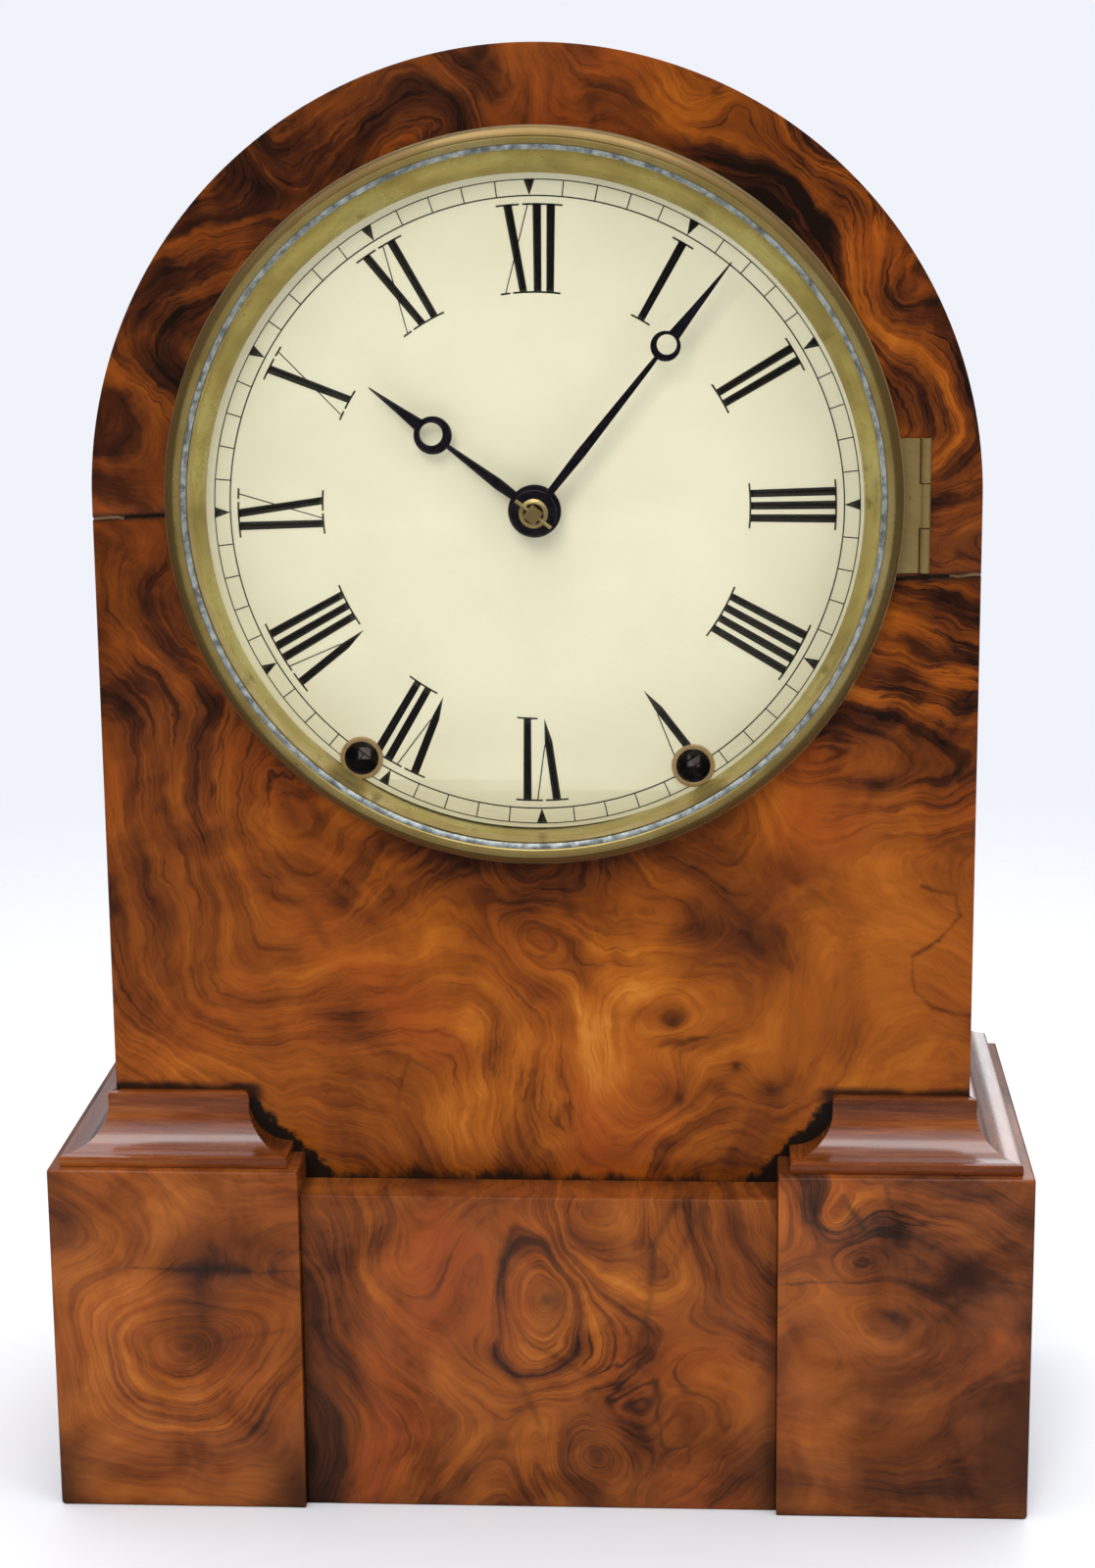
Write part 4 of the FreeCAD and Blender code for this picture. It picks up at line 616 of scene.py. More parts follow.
dialCentre = (0.0, 0.0, archCentre.z / mm)
bezelBrass = brass("bezelBrass", ((0.0, (0.3, 0.2, 0.055)), (0.5, (0.5, 0.37, 0.12)),
                                  (1.0, (0.68, 0.56, 0.26))),
                   0.32, dialCentre, 3.0, 0.45, 0.7, rim=bezelHigh.x / mm)
reflectorBrass = brass("reflectorBrass", ((0.0, (0.3, 0.21, 0.05)), (0.5, (0.47, 0.38, 0.11)),
                                         (1.0, (0.62, 0.57, 0.24))), 0.3, dialCentre, 2.0, 0.4, 0.6)
copperBrass = brass("grommetBrass", ((0.0, (0.46, 0.29, 0.11)), (1.0, (0.8, 0.58, 0.29))), 0.3, marks=1.0,
                    spots=0.3, shine=0.6)
hubBrass = brass("washerBrass", ((0.0, (0.42, 0.3, 0.09)), (1.0, (0.8, 0.66, 0.3))), 0.24,
                 (0.0, 0.0, hub.z / mm), 5.0, 0.1, 0.7)
plateBrass = brass("movementBrass", ((0.0, (0.4, 0.28, 0.09)), (1.0, (0.66, 0.5, 0.22))), 0.36, marks=0.4,
                   spots=0.2, shine=0.85, shadedAround=windingPlaces)
hingeBrass = brass("hingeBrass", ((0.0, (0.22, 0.145, 0.045)), (1.0, (0.46, 0.34, 0.13))), 0.4, marks=0.6,
                   spots=0.4,
                   shine=0.5)


def metal(name, dark, light, roughness, scale=0.4, metallic=1.0):
    material, tree, surface = newMaterial(name)
    mottle = noise(tree, objectPlace(tree), scale, 4.0, 0.6, 0.3)
    feed(tree, surface,
         {"Base Color": blended(tree, ranged(tree, mottle, 0.3, 0.7), (*dark, 1.0), (*light, 1.0)),
                         "Roughness": ranged(tree, mottle, 0.3, 0.7, roughness - 0.06, roughness + 0.08),
                         "Metallic": metallic})
    bumped(tree, surface, mottle, 0.06, 0.1)
    return material


bluedSteel = metal("bluedSteel", (0.012, 0.01, 0.016), (0.035, 0.028, 0.04), 0.36, 0.5, 0.85)
turnedSteel = metal("turnedSteel", (0.3, 0.3, 0.3), (0.52, 0.52, 0.52), 0.3)
springSteel = metal("springSteel", (0.07, 0.08, 0.11), (0.2, 0.21, 0.25), 0.32)
blackIron = metal("blackIron", (0.02, 0.02, 0.02), (0.06, 0.055, 0.05), 0.6, 0.3, 0.4)
beadMetal = metal("beadMetal", (0.16, 0.18, 0.18), (0.62, 0.68, 0.66), 0.45, 0.42, 0.6)
holeShade = metal("holeShade", (0.004, 0.003, 0.003), (0.01, 0.008, 0.007), 0.7, 0.5, 0.0)


def keyLitAndShaded():
    # the winding squares: their ends painted light, the rest painted near-black shade deep in the holes
    material, tree, surface = newMaterial("keySteel")
    place = objectPlace(tree)
    mottle = noise(tree, place, 0.9, 3.0, 0.6)
    steel = blended(tree, ranged(tree, mottle, 0.3, 0.7), (0.3, 0.25, 0.25, 1.0), (0.66, 0.57, 0.57, 1.0))
    colour = (0.01, 0.009, 0.009, 1.0)
    for x, z in windingPlaces:
        away = vectorCalc(tree, "SUBTRACT", place, flat3(x / mm, z / mm))
        axes = addNode(tree, "ShaderNodeSeparateXYZ", {0: away}).outputs
        reach = higher(tree, calc(tree, "ABSOLUTE", axes[0]), calc(tree, "ABSOLUTE", axes[2]))
        colour = blended(tree, ranged(tree, reach, 1.35, 1.75, 1.0, 0.0), colour, steel)
    feed(tree, surface, {"Base Color": colour, "Roughness": ranged(tree, mottle, 0.3, 0.7, 0.36, 0.5),
                         "Metallic": 0.4})
    return material


keySteel = keyLitAndShaded()


def dialEnamel():
    material, tree, surface = newMaterial("dialEnamel")
    place = objectPlace(tree)
    cloud = noise(tree, place, 0.03, 3.0, 0.5)
    speck = ranged(tree, noise(tree, place, 0.9, 1.0, 0.5), 0.735, 0.77)
    colour = blended(tree, ranged(tree, cloud, 0.3, 0.7), (0.79, 0.752, 0.515, 1.0), (0.83, 0.8, 0.57, 1.0))
    colour = blended(tree, times(tree, speck, 0.18), colour, (0.55, 0.47, 0.28, 1.0))
    feed(tree, surface, {"Base Color": colour, "Roughness": ranged(tree, cloud, 0.3, 0.7, 0.46, 0.54)})
    bumped(tree, surface, cloud, 0.02, 0.2)
    return material


def dialInk():
    material, tree, surface = newMaterial("dialInk")
    worn = noise(tree, objectPlace(tree), 0.8, 3.0, 0.6)
    colour = blended(tree, ranged(tree, worn, 0.3, 0.8), (0.003, 0.0025, 0.002, 1.0),
                     (0.009, 0.007, 0.005, 1.0))
    feed(tree, surface, {"Base Color": colour, "Roughness": ranged(tree, worn, 0.3, 0.7, 0.45, 0.6),
                         "Specular IOR Level": 0.2})
    return material


def clearGlass():
    # thin flat glass: seen straight through, with a faint reflection that grows towards the edge
    material, tree, surface = newMaterial("clearGlass")
    smear = noise(tree, objectPlace(tree), 0.03, 2.0, 0.5)
    feed(tree, surface, {"Base Color": (0.99, 1.0, 0.995, 1.0), "IOR": 1.46, "Transmission Weight": 1.0,
                         "Roughness": ranged(tree, smear, 0.3, 0.7, 0.0, 0.05)})
    facing = addNode(tree, "ShaderNodeLayerWeight", {"Blend": 0.5}).outputs["Facing"]
    outside = calc(tree, "SUBTRACT", 1.0, addNode(tree, "ShaderNodeNewGeometry").outputs["Backfacing"])
    seen = addNode(tree, "ShaderNodeLightPath").outputs["Is Camera Ray"]
    shown = plus(tree, times(tree, calc(tree, "POWER", facing, 4.0), 0.6), 0.025)
    pane = mixedShader(tree, times(tree, times(tree, shown, outside), seen),
                       addNode(tree, "ShaderNodeBsdfTransparent").outputs[0],
                       addNode(tree, "ShaderNodeBsdfGlossy", {"Roughness": 0.02}).outputs[0])
    feed(tree, tree.nodes["Material Output"], {"Surface": mixedShader(tree, 0.97, surface.outputs[0], pane)})
    return material


enamel = dialEnamel()
ink = dialInk()
glassMaterial = clearGlass()
print("metals, enamel and glass made")


# ---- mesh helpers

def finishMesh(obj, material, body, slot, replaces=(), sharpAngle=35.0):
    materials = material if isinstance(material, (list, tuple)) else [material]
    for one in materials:
        obj.data.materials.append(one)
    shape = bmesh.new()
    shape.from_mesh(obj.data)
    bmesh.ops.remove_doubles(shape, verts=shape.verts, dist=1e-7)
    bmesh.ops.recalc_face_normals(shape, faces=shape.faces)
    limit = math.radians(sharpAngle)
    for edge in shape.edges:
        edge.smooth = len(edge.link_faces) == 2 and edge.calc_face_angle(0.0) < limit
    for face in shape.faces:
        face.smooth = True
    shape.to_mesh(obj.data)
    shape.free()
    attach(obj, body)
    if replaces:
        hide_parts(*replaces)
    return obj


def meshPiece(name, points, faces, *finish, **more):
    mesh = bpy.data.meshes.new(name)
    mesh.from_pydata([tuple(point) for point in points], [], faces)
    obj = bpy.data.objects.new(name, mesh)
    bpy.context.scene.collection.objects.link(obj)
    return finishMesh(obj, *finish, **more)


def cutPlate(name, outlines, low, high, edge, *finish, upright=True, **more):
    # flat piece with rounded edges from closed outlines; upright plates lie in X and Z, others in X and Y
    curve = bpy.data.curves.new(name, "CURVE")
    curve.dimensions = "2D"
    curve.fill_mode = "BOTH"
    curve.extrude = (high - low) / 2 - edge
    curve.bevel_depth = edge
    curve.bevel_resolution = 2
    curve.offset = -edge
    for outline in outlines:
        spline = curve.splines.new("POLY")
        spline.points.add(len(outline) - 1)
        for point, (a, b) in zip(spline.points, outline):
            point.co = (a, b, 0.0, 1.0)
        spline.use_cyclic_u = True
    holder = bpy.data.objects.new(name + "_outline", curve)
    bpy.context.scene.collection.objects.link(holder)
    bpy.context.view_layer.update()
    mesh = bpy.data.meshes.new_from_object(holder.evaluated_get(bpy.context.evaluated_depsgraph_get()))
    bpy.data.objects.remove(holder)
    middle = (high + low) / 2
    if upright:
        mesh.transform(Matrix(((1, 0, 0, 0), (0, 0, -1, middle), (0, 1, 0, 0), (0, 0, 0, 1))))
    else:
        mesh.transform(Matrix.Translation((0, 0, middle)))
    mesh.materials.clear()
    obj = bpy.data.objects.new(name, mesh)
    bpy.context.scene.collection.objects.link(obj)
    return finishMesh(obj, *finish, **more)


def offsets(y, radius, steps):
    # places from a start by steps in millimetres
    return [(y + a * mm, radius + b * mm) for a, b in steps]


def turned(name, profile, centre, *finish, steps):
    # closed profile of (y, radius) turned about the Y axis through centre
    points = []
    for k in range(steps):
        angle = 2 * math.pi * k / steps
        for y, radius in profile:
            points.append((centre[0] + radius * math.sin(angle), y, centre[2] + radius * math.cos(angle)))
    count = len(profile)
    faces = []
    for k in range(steps):
        here = k * count
        there = (k + 1) % steps * count
        for i in range(count):
            j = (i + 1) % count
            faces.append((here + i, here + j, there + j, there + i))
    return meshPiece(name, points, faces, *finish)


def circle(x, z, radius, steps=96):
    return [(x + radius * math.sin(2 * math.pi * k / steps), z + radius * math.cos(2 * math.pi * k / steps))
            for k in range(steps)]


def recoat(node, material):
    frame["nodes"][node].data.materials.clear()
    frame["nodes"][node].data.materials.append(material)


def arcPoints(x, z, radius, start, end, steps):
    # angles in degrees, clockwise from the top
    turn = [math.radians(start + (end - start) * k / steps) for k in range(steps + 1)]
    return [(x + radius * math.sin(a), z + radius * math.cos(a)) for a in turn]


# ---- case

caseWood = {"opening": 88.9 * mm, "wall": 8.0 * mm, "veneerEdge": 0.12 * mm, "shellEdge": 0.3 * mm,
            "blockEdge": 0.7 * mm, "blockCorner": 1.4 * mm, "panelEdge": 0.6 * mm, "crackGap": 0.8 * mm,
            "crackRoughness": 0.22 * mm}
# heights of the two cracks, at the side of the case and at the dial opening
crack = {-1: (263.1 * mm, 264.3 * mm), 1: (248.6 * mm, 247.4 * mm)}


def crackLine(side, shift, seed):
    # from the case's side in to the dial opening, slightly ragged
    source = random.Random(seed)
    edgeZ, innerZ = crack[side]
    startX = archRadius * side
    endX = math.sqrt(caseWood["opening"] ** 2 - (innerZ - archCentre.z) ** 2) * side
    points = []
    steps = 22
    for k in range(steps + 1):
        t = k / steps
        ragged = (source.random() - 0.5) * 2 * caseWood["crackRoughness"] if 0 < k < steps else 0.0
        points.append((startX + (endX - startX) * t, edgeZ + (innerZ - edgeZ) * t + shift + ragged))
    return points


def degreesAt(x, z):
    return math.degrees(math.atan2(x, z - archCentre.z))


def makeVeneers():
    # one sheet above the two cracks and one below them
    cz = archCentre.z
    opening, half = caseWood["opening"], caseWood["crackGap"] / 2
    left, right = crackLine(-1, half, 5), crackLine(1, half, 6)
    above = right + arcPoints(0.0, cz, opening, degreesAt(*right[-1]), degreesAt(*left[-1]), 90)[1:]
    above += left[::-1][1:]
    above += arcPoints(0.0, cz, archRadius, -90.0 if left[0][1] < cz else degreesAt(*left[0]), 90.0, 110)
    left, right = crackLine(-1, -half, 5), crackLine(1, -half, 6)
    below = [(archRadius, 0.0)] + right
    below += arcPoints(0.0, cz, opening, degreesAt(*right[-1]), 360.0 + degreesAt(*left[-1]), 110)[1:]
    below += left[::-1][1:] + [(-archRadius, 0.0)]
    for name, outline, node in (("veneerAbove", above, "front_veneer_upper"),
                                ("veneerBelow", below, "front_veneer_lower")):
        cutPlate(name, [outline], veneerLow.y, veneerHigh.y, caseWood["veneerEdge"], bodyWood, "case",
                 "walnut_veneer", [node])


def archOutline(half, foot, steps=96):
    return [(-half, foot)] + arcPoints(0.0, archCentre.z, half, -90.0, 90.0, steps) + [(half, foot)]


def makeShell():
    inner = shellHigh.x - caseWood["wall"]
    wall = archOutline(archRadius, 0.0) + archOutline(inner, 0.0)[::-1]
    shell = cutPlate("caseShell", [wall], shellLow.y, shellHigh.y, caseWood["shellEdge"], [sideWood, pine],
                     "case",
                     "walnut_veneer", ["case_shell"])
    for face in shell.data.polygons:
        x, y, z = face.center
        reach = abs(x) if z < archCentre.z else math.hypot(x, z - archCentre.z)
        if reach < archRadius - 0.5 * mm:
            face.material_index = 1


def makeBase():
    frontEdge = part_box("base_block_left")[0].y
    for name, side, wood in (("left", -1, leftWood), ("right", 1, rightWood)):
        node = "base_block_" + name
        low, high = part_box(node)
        outer = max(abs(low.x), abs(high.x))
        inner = min(abs(low.x), abs(high.x))
        turn = caseWood["blockCorner"]
        corner = [(outer - turn + turn * math.sin(math.radians(a)), frontEdge + turn - turn
                   * math.cos(math.radians(a)))
                  for a in range(0, 91, 15)]
        plan = [(inner, frontY), (inner, frontEdge)] + corner + [(outer, high.y), (archRadius, high.y),
                                                                 (archRadius, frontY)]
        plan = [(x * side, y) for x, y in plan]
        cutPlate("baseBlock" + name.title(), [plan], low.z, high.z, caseWood["blockEdge"], wood, "case",
                 "walnut_veneer", [node],
                 upright=False)
    low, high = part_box("plinth_panel")
    panel = [(low.x, low.z), (high.x, low.z), (high.x, high.z), (low.x, high.z)]
    cutPlate("plinthPanel", [panel], low.y, high.y, caseWood["panelEdge"], panelWood, "case", "walnut_veneer",
             ["plinth_panel"])


coveHeight = 16.9 * mm


def coveSection():
    # (distance in, height) of the cap moulding, rounded a little at its fillet and lip
    run, foot, height, lip = 11.3 * mm, 3.0 * mm, coveHeight, 4.0 * mm
    top = height - lip
    points = [(0.25 * mm, 0.0), (0.0, 0.3 * mm), (0.0, foot - 0.9 * mm), (0.25 * mm, foot - 0.25 * mm),
              (0.9 * mm, foot)]
    rise = top - foot
    for k in range(1, 14):
        angle = math.radians(90 * k / 13)
        points.append((0.9 * mm + (run - 0.9 * mm) * math.sin(angle), foot + rise * (1 - math.cos(angle))))
    points += [(run, top + 0.2 * mm), (run, height - 0.7 * mm), (run + 0.2 * mm, height - 0.2 * mm),
               (run + 0.7 * mm, height)]
    return points


def makeCoves():
    section = coveSection()
    for name, side in (("left", -1), ("right", 1)):
        low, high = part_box("cove_front_" + name)
        base = low.z
        frontEdge = low.y
        outer = max(abs(low.x), abs(high.x))
        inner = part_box("cove_return_" + name)
        innerX = min(abs(inner[0].x), abs(inner[1].x))
        deep = frontY - frontEdge
        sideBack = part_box("cove_side_" + name)[1].y
        profile = section + [(deep, coveHeight), (deep, 0.0)]

        def strip(label, ends, material, node):
            points = [ends(d, h, 0) for d, h in profile] + [ends(d, h, 1) for d, h in profile]
            count = len(profile)
            faces = [tuple(range(count)), tuple(range(2 * count - 1, count - 1, -1))]
            faces += [(i, (i + 1) % count, count + (i + 1) % count, count + i) for i in range(count)]
            meshPiece(label, points, faces, material, "case", "walnut_moulding", [node], 40.0)

        strip("capFront" + name.title(),
              lambda d, h, end: (side * (outer - d if end else innerX + min(d, deep)), frontEdge + d, base
                                 + h),
              mouldingX, "cove_front_" + name)
        strip("capSide" + name.title(),
              lambda d, h, end: (side * (outer - min(d, outer - archRadius)), sideBack if end else frontEdge
                                 + d, base + h),
              mouldingY, "cove_side_" + name)
        strip("capReturn" + name.title(),
              lambda d, h, end: (side * (innerX + d), frontY if end else frontEdge + d, base + h),
              mouldingY, "cove_return_" + name)


makeVeneers()
makeShell()
makeBase()
makeCoves()
for node in ("back_board", "back_door", "base_floor"):
    recoat(node, pine)
recoat("front_board", shadeBoard)
print("case made")


# ---- dial

dial = {"turn": -0.6, "trackOuter": 82.4 * mm, "trackInner": 78.4 * mm, "numeralOuter": 76.3 * mm,
        "numeralInner": 54.6 * mm, "thick": 2.15 * mm, "hair": 0.32 * mm, "serif": 0.48 * mm, "proud": 0.04
        * mm,
        "squeeze": 0.89, "hubHole": 5.2 * mm, "windingHole": 5.6 * mm, "minuteHalf": 0.15 * mm,
        "fiveHalf": 1.4 * mm}


def dialPoint(angle, across, radius):
    # a place from a direction, a distance clockwise at the outer edge of the numerals, and a radius
    t = (radius - dial["numeralInner"]) / (dial["numeralOuter"] - dial["numeralInner"])
    width = across * (dial["squeeze"] + (1 - dial["squeeze"]) * t)
    a = math.radians(angle + dial["turn"]) + width / radius
    return (hub.x + radius * math.sin(a), dialY - dial["proud"], hub.z + radius * math.cos(a))


glyphs = {
    "I": {"left": 1.75, "right": 1.75, "strokes": [(0.0, 0.0, "thick")]},
    "V": {"left": 3.85, "right": 3.5, "strokes": [(-2.45, 0.0, "point"), (2.6, -0.7, "hairPoint")]},
    "X": {"left": 3.2, "right": 3.95, "strokes": [(-1.65, 1.7, "thick"), (3.4, -3.4, "hair")]},
}


knees = {"point": 0.72, "hairPoint": 0.68}  # where a stroke starts to run to its point


def addQuad(points, faces, corners):
    start = len(points)
    points.extend(corners)
    faces.append(tuple(range(start, start + len(corners))))


def addStroke(points, faces, angle, places):
    # places are (across, radius)
    addQuad(points, faces, [dialPoint(angle, across, radius) for across, radius in places])


def addArc(points, faces, angle, left, right, radius, thickness, steps=8):
    low, high = radius - thickness / 2, radius + thickness / 2
    for k in range(steps):
        a = left + (right - left) * k / steps
        b = left + (right - left) * (k + 1) / steps
        addStroke(points, faces, angle, [(a, low), (b, low), (b, high), (a, high)])


def serifs(points, faces, angle, ends, radius):
    # ends are (place, reach, group); ends of one group share a serif
    ends = sorted(ends)
    runs = []
    for place, reach, group in ends:
        if runs and runs[-1][2] == group:
            runs[-1][1] = place + reach
        else:
            runs.append([place - reach, place + reach, group])
    for first, second in zip(runs, runs[1:]):
        middle = (first[1] + second[0]) / 2
        if second[0] - first[1] < 0.8 * mm:
            first[1], second[0] = middle - 0.4 * mm, middle + 0.4 * mm
    for left, right, group in runs:
        addArc(points, faces, angle, left, right, radius, dial["serif"])


def makeNumerals():
    outer, inner = dial["numeralOuter"], dial["numeralInner"]
    points, faces = [], []
    for hour, word in enumerate(("I", "II", "III", "IIII", "V", "VI", "VII", "VIII", "IX", "X", "XI", "XII"),
                                start=1):
        angle = hour * 30.0
        total = sum(glyphs[letter]["left"] + glyphs[letter]["right"] for letter in word)
        cursor = -total / 2
        outerEnds, innerEnds = [], []
        for letter in word:
            glyph = glyphs[letter]
            middle = cursor + glyph["left"]
            cursor = middle + glyph["right"]
            for top, foot, kind in glyph["strokes"]:
                top, foot = (middle + top) * mm, (middle + foot) * mm
                half = (dial["thick"] if kind in ("thick", "point") else dial["hair"]) / 2
                share = knees.get(kind, 1.0)
                knee, kneeAt = top + (foot - top) * share, outer + (inner - outer) * share
                addStroke(points, faces, angle, [(top - half, outer), (knee - half, kneeAt),
                                                 (knee + half, kneeAt), (top + half, outer)])
                if kind == "point":
                    addStroke(points, faces, angle, [(knee - half, kneeAt), (foot + half * 0.3, inner),
                                                     (knee + half, kneeAt)])
                reach = half + 1.9 * mm if kind in ("thick", "point") else 1.4 * mm
                outerEnds.append((top, reach, letter))
                if kind in ("thick", "hair"):
                    innerEnds.append((foot, reach, letter))
        for ends, radius in ((outerEnds, outer), (innerEnds, inner)):
            group = 0
            grouped = []
            ordered = sorted(ends)
            for number, (place, reach, letter) in enumerate(ordered):
                if number and {letter, ordered[number - 1][2]} in ({"X"}, {"V"}):
                    group += 1
                grouped.append((place, reach, group))
            serifs(points, faces, angle, grouped, radius)
    return points, faces


def makeTrack():
    points, faces = [], []
    outer, inner = dial["trackOuter"], dial["trackInner"]
    for radius, thickness in ((outer, 0.28 * mm), (inner, 0.36 * mm)):
        steps = 240
        for k in range(steps):
            a, b = (math.radians(360.0 * n / steps) for n in (k, k + 1))
            addQuad(points, faces, [(hub.x + r * math.sin(t), dialY - dial["proud"], hub.z + r * math.cos(t))
                                    for r, t in ((radius - thickness / 2, a), (radius - thickness / 2, b),
                                                 (radius + thickness / 2, b), (radius + thickness / 2, a))])
    for minute in range(60):
        angle = minute * 6.0 + dial["turn"]
        way = Vector((math.sin(math.radians(angle)), 0.0, math.cos(math.radians(angle))))
        across = Vector((way.z, 0.0, -way.x))
        origin = Vector((hub.x, dialY - dial["proud"], hub.z))
        if minute % 5:
            half = dial["minuteHalf"]
            addQuad(points, faces, [origin + way * inner - across * half, origin + way * inner + across
                                    * half,
                                    origin + way * outer + across * half, origin + way * outer - across
                                    * half])
        else:
            half = dial["fiveHalf"]
            addQuad(points, faces, [origin + way * inner, origin + way * outer + across * half,
                                    origin + way * outer - across * half])
    return points, faces


def makeDial():
    radius = (dialHigh.x - dialLow.x) / 2
    cutPlate("dialPan", [circle(0.0, archCentre.z, radius, 160), circle(hub.x, hub.z, dial["hubHole"], 48)]
             + [circle(x, z, dial["windingHole"], 48) for x, z in windingPlaces], dialY, dialHigh.y, 0.05
             * mm, enamel,
             "case",
             "dial_enamel", ["dial_pan"])
    points, faces = makeNumerals()
    meshPiece("dialNumerals", points, faces, ink, "case", "dial_enamel")
    points, faces = makeTrack()
    meshPiece("dialTrack", points, faces, ink, "case", "dial_enamel")


makeDial()


def makeGrommets():
    for name, (x, z) in zip(("Time", "Strike"), windingPlaces):
        top = dialY - 0.6 * mm
        profile = [(dialHigh.y, 5.55 * mm)]
        profile += offsets(top, 0.0, [(0.35, 5.6), (0.08, 5.48), (0.0, 5.2), (0.0, 4.75), (0.12, 4.45),
                                      (0.5, 4.35)])
        profile += [(dialHigh.y, 4.35 * mm)]
        piece = turned("grommet" + name, profile, (x, 0.0, z), [copperBrass, holeShade], "case",
                       "polished_brass", steps=64)
        for face in piece.data.polygons:
            inward = math.hypot(face.center.x - x, face.center.z - z) < 4.4 * mm
            face.material_index = 1 if inward else 0
        if name == "Time":
            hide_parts("winding_grommets")


makeGrommets()


def makeReflector():
    # the sloping brass wall between the glass and the dial, set a little off centre as on the real clock
    depth = dialY - frontY
    sideShift = 0.6 * mm
    profile = offsets(frontY, 0.0, [(0.02, 88.6), (0.02, 88.0), (0.4, 87.5)])
    profile += [(frontY + depth * 0.5, 85.75 * mm)]
    profile += offsets(dialY, 0.0, [(-0.5, 84.15), (-0.05, 84.0), (-0.05, 85.8)])
    profile += offsets(frontY, 0.0, [(1.5, 88.3), (0.25, 88.9)])
    piece = turned("reflectorRing", profile, archCentre, reflectorBrass, "case", "polished_brass",
                   ["reflector_ring"], steps=192)
    for corner in piece.data.vertices:
        share = (corner.co.y - frontY) / depth
        corner.co.x -= sideShift * share
        corner.co.z -= (archCentre.z - hub.z) * share


def makeBezel():
    face, back, rim = bezelLow.y, bezelHigh.y, bezelHigh.x
    profile = offsets(back, rim, [(0.0, -0.15), (-0.2, 0.0)])
    profile += offsets(face, rim, [(3.4, 0.0), (2.6, -0.18), (1.3, -0.95), (0.5, -1.9), (0.22, -2.45),
                                   (0.34, -2.62), (0.34, -2.78), (0.08, -2.95), (0.0, -3.3), (0.05, -4.2)])
    profile += offsets(face, 0.0, [(0.3, 88.3), (0.7, 88.2), (2.6, 88.2), (2.6, 86.9)]) + [(back, 86.9 * mm)]
    turned("bezelRing", profile, archCentre, bezelBrass, "bezel", "aged_brass", ["bezel"], steps=224)
    glassLow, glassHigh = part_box("bezel_glass")
    disc = circle(0.0, archCentre.z, 88.0 * mm, 160)
    cutPlate("bezelGlass", [disc], glassLow.y, glassHigh.y, 0.1 * mm, glassMaterial, "bezel", "clear_glass",
             ["bezel_glass"])
    bead = offsets(glassLow.y, 0.0, [(-0.02, 86.95), (-0.32, 87.15), (-0.6, 87.6), (-0.72, 88.0),
                                     (-0.7, 88.19),
                                     (-0.02, 88.19)])
    turned("solderBead", bead, archCentre, beadMetal, "bezel", "solder_bead", ["glass_bead"], steps=224)


makeReflector()
makeBezel()
print("dial and bezel made")


# ---- hands

hands = {
    "minute": {"angle": 38.6, "reach": 79.6, "ringAt": 53.3, "ringOuter": 3.8, "ringInner": 2.5,
               "ringShift": 0.5,
               "boss": 5.85, "blade": 2.5, "bossWidth": 1.8, "neck": 0.9, "spear": 3.1},
    "hour": {"angle": -53.0, "reach": 52.1, "ringAt": 32.0, "ringOuter": 4.85, "ringInner": 2.9,
             "ringShift": 0.5,
             "boss": 6.75, "blade": 2.9, "bossWidth": 2.4, "neck": 1.0, "spear": 3.3},
}


def handOutline(shape):
    # from the boss up one side to the point, then mirrored
    boss, ringAt, ring = shape["boss"], shape["ringAt"], shape["ringOuter"]
    side = [(shape["bossWidth"] / 2, math.sqrt(boss ** 2 - (shape["bossWidth"] / 2) ** 2)),
            (shape["blade"] / 2, ringAt * 0.36), (shape["neck"] / 2 + 0.25, ringAt - ring - 3.0)]
    lowAngle = math.degrees(math.asin((shape["neck"] / 2 + 0.1) / ring))
    highAngle = math.degrees(math.asin(shape["spear"] / 2 / ring))
    side += [(ring * math.sin(math.radians(180 - a)), ringAt + ring * math.cos(math.radians(180 - a)))
             for a in [lowAngle + (180 - highAngle - lowAngle) * k / 20 for k in range(21)]]
    side += [(shape["spear"] / 2 * 0.62, ringAt + ring + (shape["reach"] - ringAt - ring) * 0.35),
             (0.14, shape["reach"] - 0.1)]
    edge = math.degrees(math.asin(shape["bossWidth"] / 2 / boss))
    bossEdge = [(boss * math.sin(math.radians(a)), boss * math.cos(math.radians(a)))
             for a in [edge + (360 - 2 * edge) * k / 48 for k in range(49)]]
    mirrored = [(-x, z) for x, z in reversed(side)]
    return side + mirrored + bossEdge[::-1][1:-1]


def atAngle(points, degrees):
    a = math.radians(degrees)
    return [(hub.x + (x * math.cos(a) + z * math.sin(a)) * mm, hub.z + (-x * math.sin(a) + z * math.cos(a))
             * mm)
            for x, z in points]


def makeHand(name):
    shape = hands[name]
    node = name + "_hand"
    low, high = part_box(node)
    hole = circle(0.0, shape["ringAt"] + shape["ringShift"], shape["ringInner"], 40)
    if name == "minute":
        squareHalf = 1.8
        bore = [(a * squareHalf, b * squareHalf) for a, b in ((-1, -1), (1, -1), (1, 1), (-1, 1))]
    else:
        bore = circle(0.0, 0.0, 3.6, 40)
    outlines = [atAngle(points, shape["angle"]) for points in (handOutline(shape), hole, bore)]
    cutPlate(name + "Hand", outlines, low.y, high.y, 0.18 * mm, bluedSteel, name, "blued_steel", [node],
             sharpAngle=30.0)


makeHand("minute")
makeHand("hour")


def makeWasher():
    low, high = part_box("hand_washer")
    y0, y1 = low.y, high.y
    profile = [(y1, 3.7 * mm), (y1 - 0.35 * mm, 3.68 * mm), (y0 + 0.3 * mm, 3.3 * mm),
               (y0 + 0.05 * mm, 2.9 * mm),
               (y0, 2.62 * mm), (y1, 2.62 * mm)]
    turned("handWasher", profile, hub, hubBrass, "minute", "polished_brass", ["hand_washer"], steps=72)


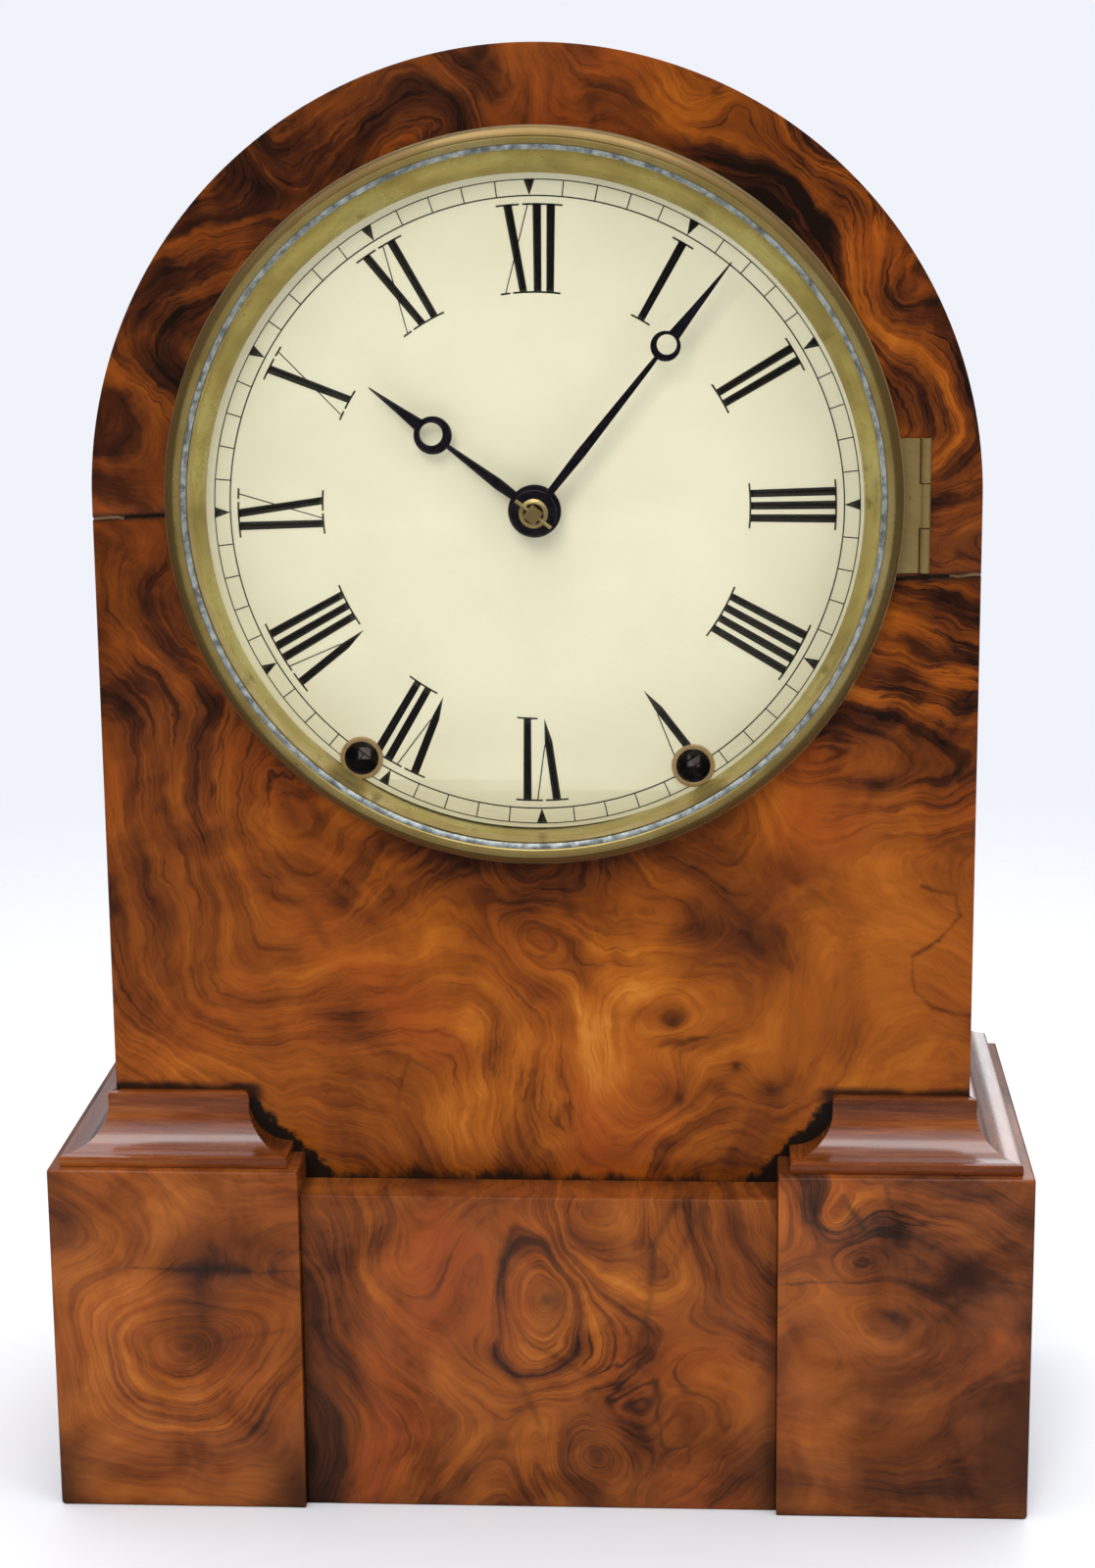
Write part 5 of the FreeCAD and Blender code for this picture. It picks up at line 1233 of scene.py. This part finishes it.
makeWasher()
print("hands made")


# ---- finishes for the pieces shown as they are in the frame

finishes = {
    "aged_brass": hingeBrass, "polished_brass": hubBrass, "plate_brass": plateBrass, "steel": turnedSteel,
    "spring_steel": springSteel, "cast_iron": blackIron,
}
slotOf = {part["node"]: part["material_slot"] for part in frame["record"]["subparts"]}
for node, obj in frame["nodes"].items():
    finish = finishes.get(slotOf.get(node))
    if finish and not obj.hide_render:
        recoat(node, finish)
for node in ("time_winding_arbor", "strike_winding_arbor"):
    recoat(node, keySteel)
print("movement finished")


# ---- floor

def makeFloor():
    # a pale floor that fades into the room all round
    material, tree, surface = newMaterial("paleFloor")
    reach = vectorCalc(tree, "LENGTH", objectPlace(tree))
    paper = noise(tree, objectPlace(tree), 0.02, 2.0, 0.5)
    feed(tree, surface,
         {"Base Color": blended(tree, paper, (0.84, 0.845, 0.865, 1.0), (0.865, 0.868, 0.88, 1.0)),
                         "Roughness": 0.6})
    # seen in reflections the floor is painted dark grey, a painted dim reflection for the brass and polish
    rays = addNode(tree, "ShaderNodeLightPath").outputs
    dark = addNode(tree, "ShaderNodeBsdfDiffuse", {"Color": (0.1, 0.1, 0.1, 1.0)}).outputs[0]
    mix = mixedShader(tree, rays["Is Glossy Ray"], surface.outputs[0], dark)
    far = times(tree, ranged(tree, reach, 260.0, 900.0), rays["Is Camera Ray"])
    clear = addNode(tree, "ShaderNodeBsdfTransparent").outputs[0]
    feed(tree, tree.nodes["Material Output"], {"Surface": mixedShader(tree, far, mix, clear)})
    size = 4.0
    mesh = bpy.data.meshes.new("floor")
    mesh.from_pydata([(-size, -size, 0), (size, -size, 0), (size, size, 0), (-size, size, 0)], [],
                     [(0, 1, 2, 3)])
    mesh.materials.append(material)
    floor = bpy.data.objects.new("floor", mesh)
    bpy.context.scene.collection.objects.link(floor)


def makeWorld():
    # a pale room to the eye, bright overhead and dim in front as a light, so the polish stays clear
    world = bpy.data.worlds.new("softRoom")
    bpy.context.scene.world = world
    world.use_nodes = True
    tree = world.node_tree
    way = addNode(tree, "ShaderNodeSeparateXYZ",
                  {0: tree.nodes.new("ShaderNodeTexCoord").outputs["Generated"]}).outputs
    overhead = ranged(tree, way[2], 0.35, 0.9, 0.0, 1.0)
    behind = ranged(tree, way[1], -0.2, 0.7, 0.0, 1.0)
    glow = plus(tree, times(tree, overhead, 1.25), times(tree, behind, 0.3))
    glow = plus(tree, glow, 0.08)
    lightPath = tree.nodes.new("ShaderNodeLightPath").outputs
    strength = addNode(tree, "ShaderNodeMix", {0: lightPath["Is Camera Ray"], 2: glow, 3: 1.0}).outputs[0]
    feed(tree, tree.nodes["Background"], {"Color": (0.88, 0.895, 0.965, 1.0), "Strength": strength})


makeFloor()
makeWorld()
bpy.context.scene.view_settings.view_transform = "Standard"
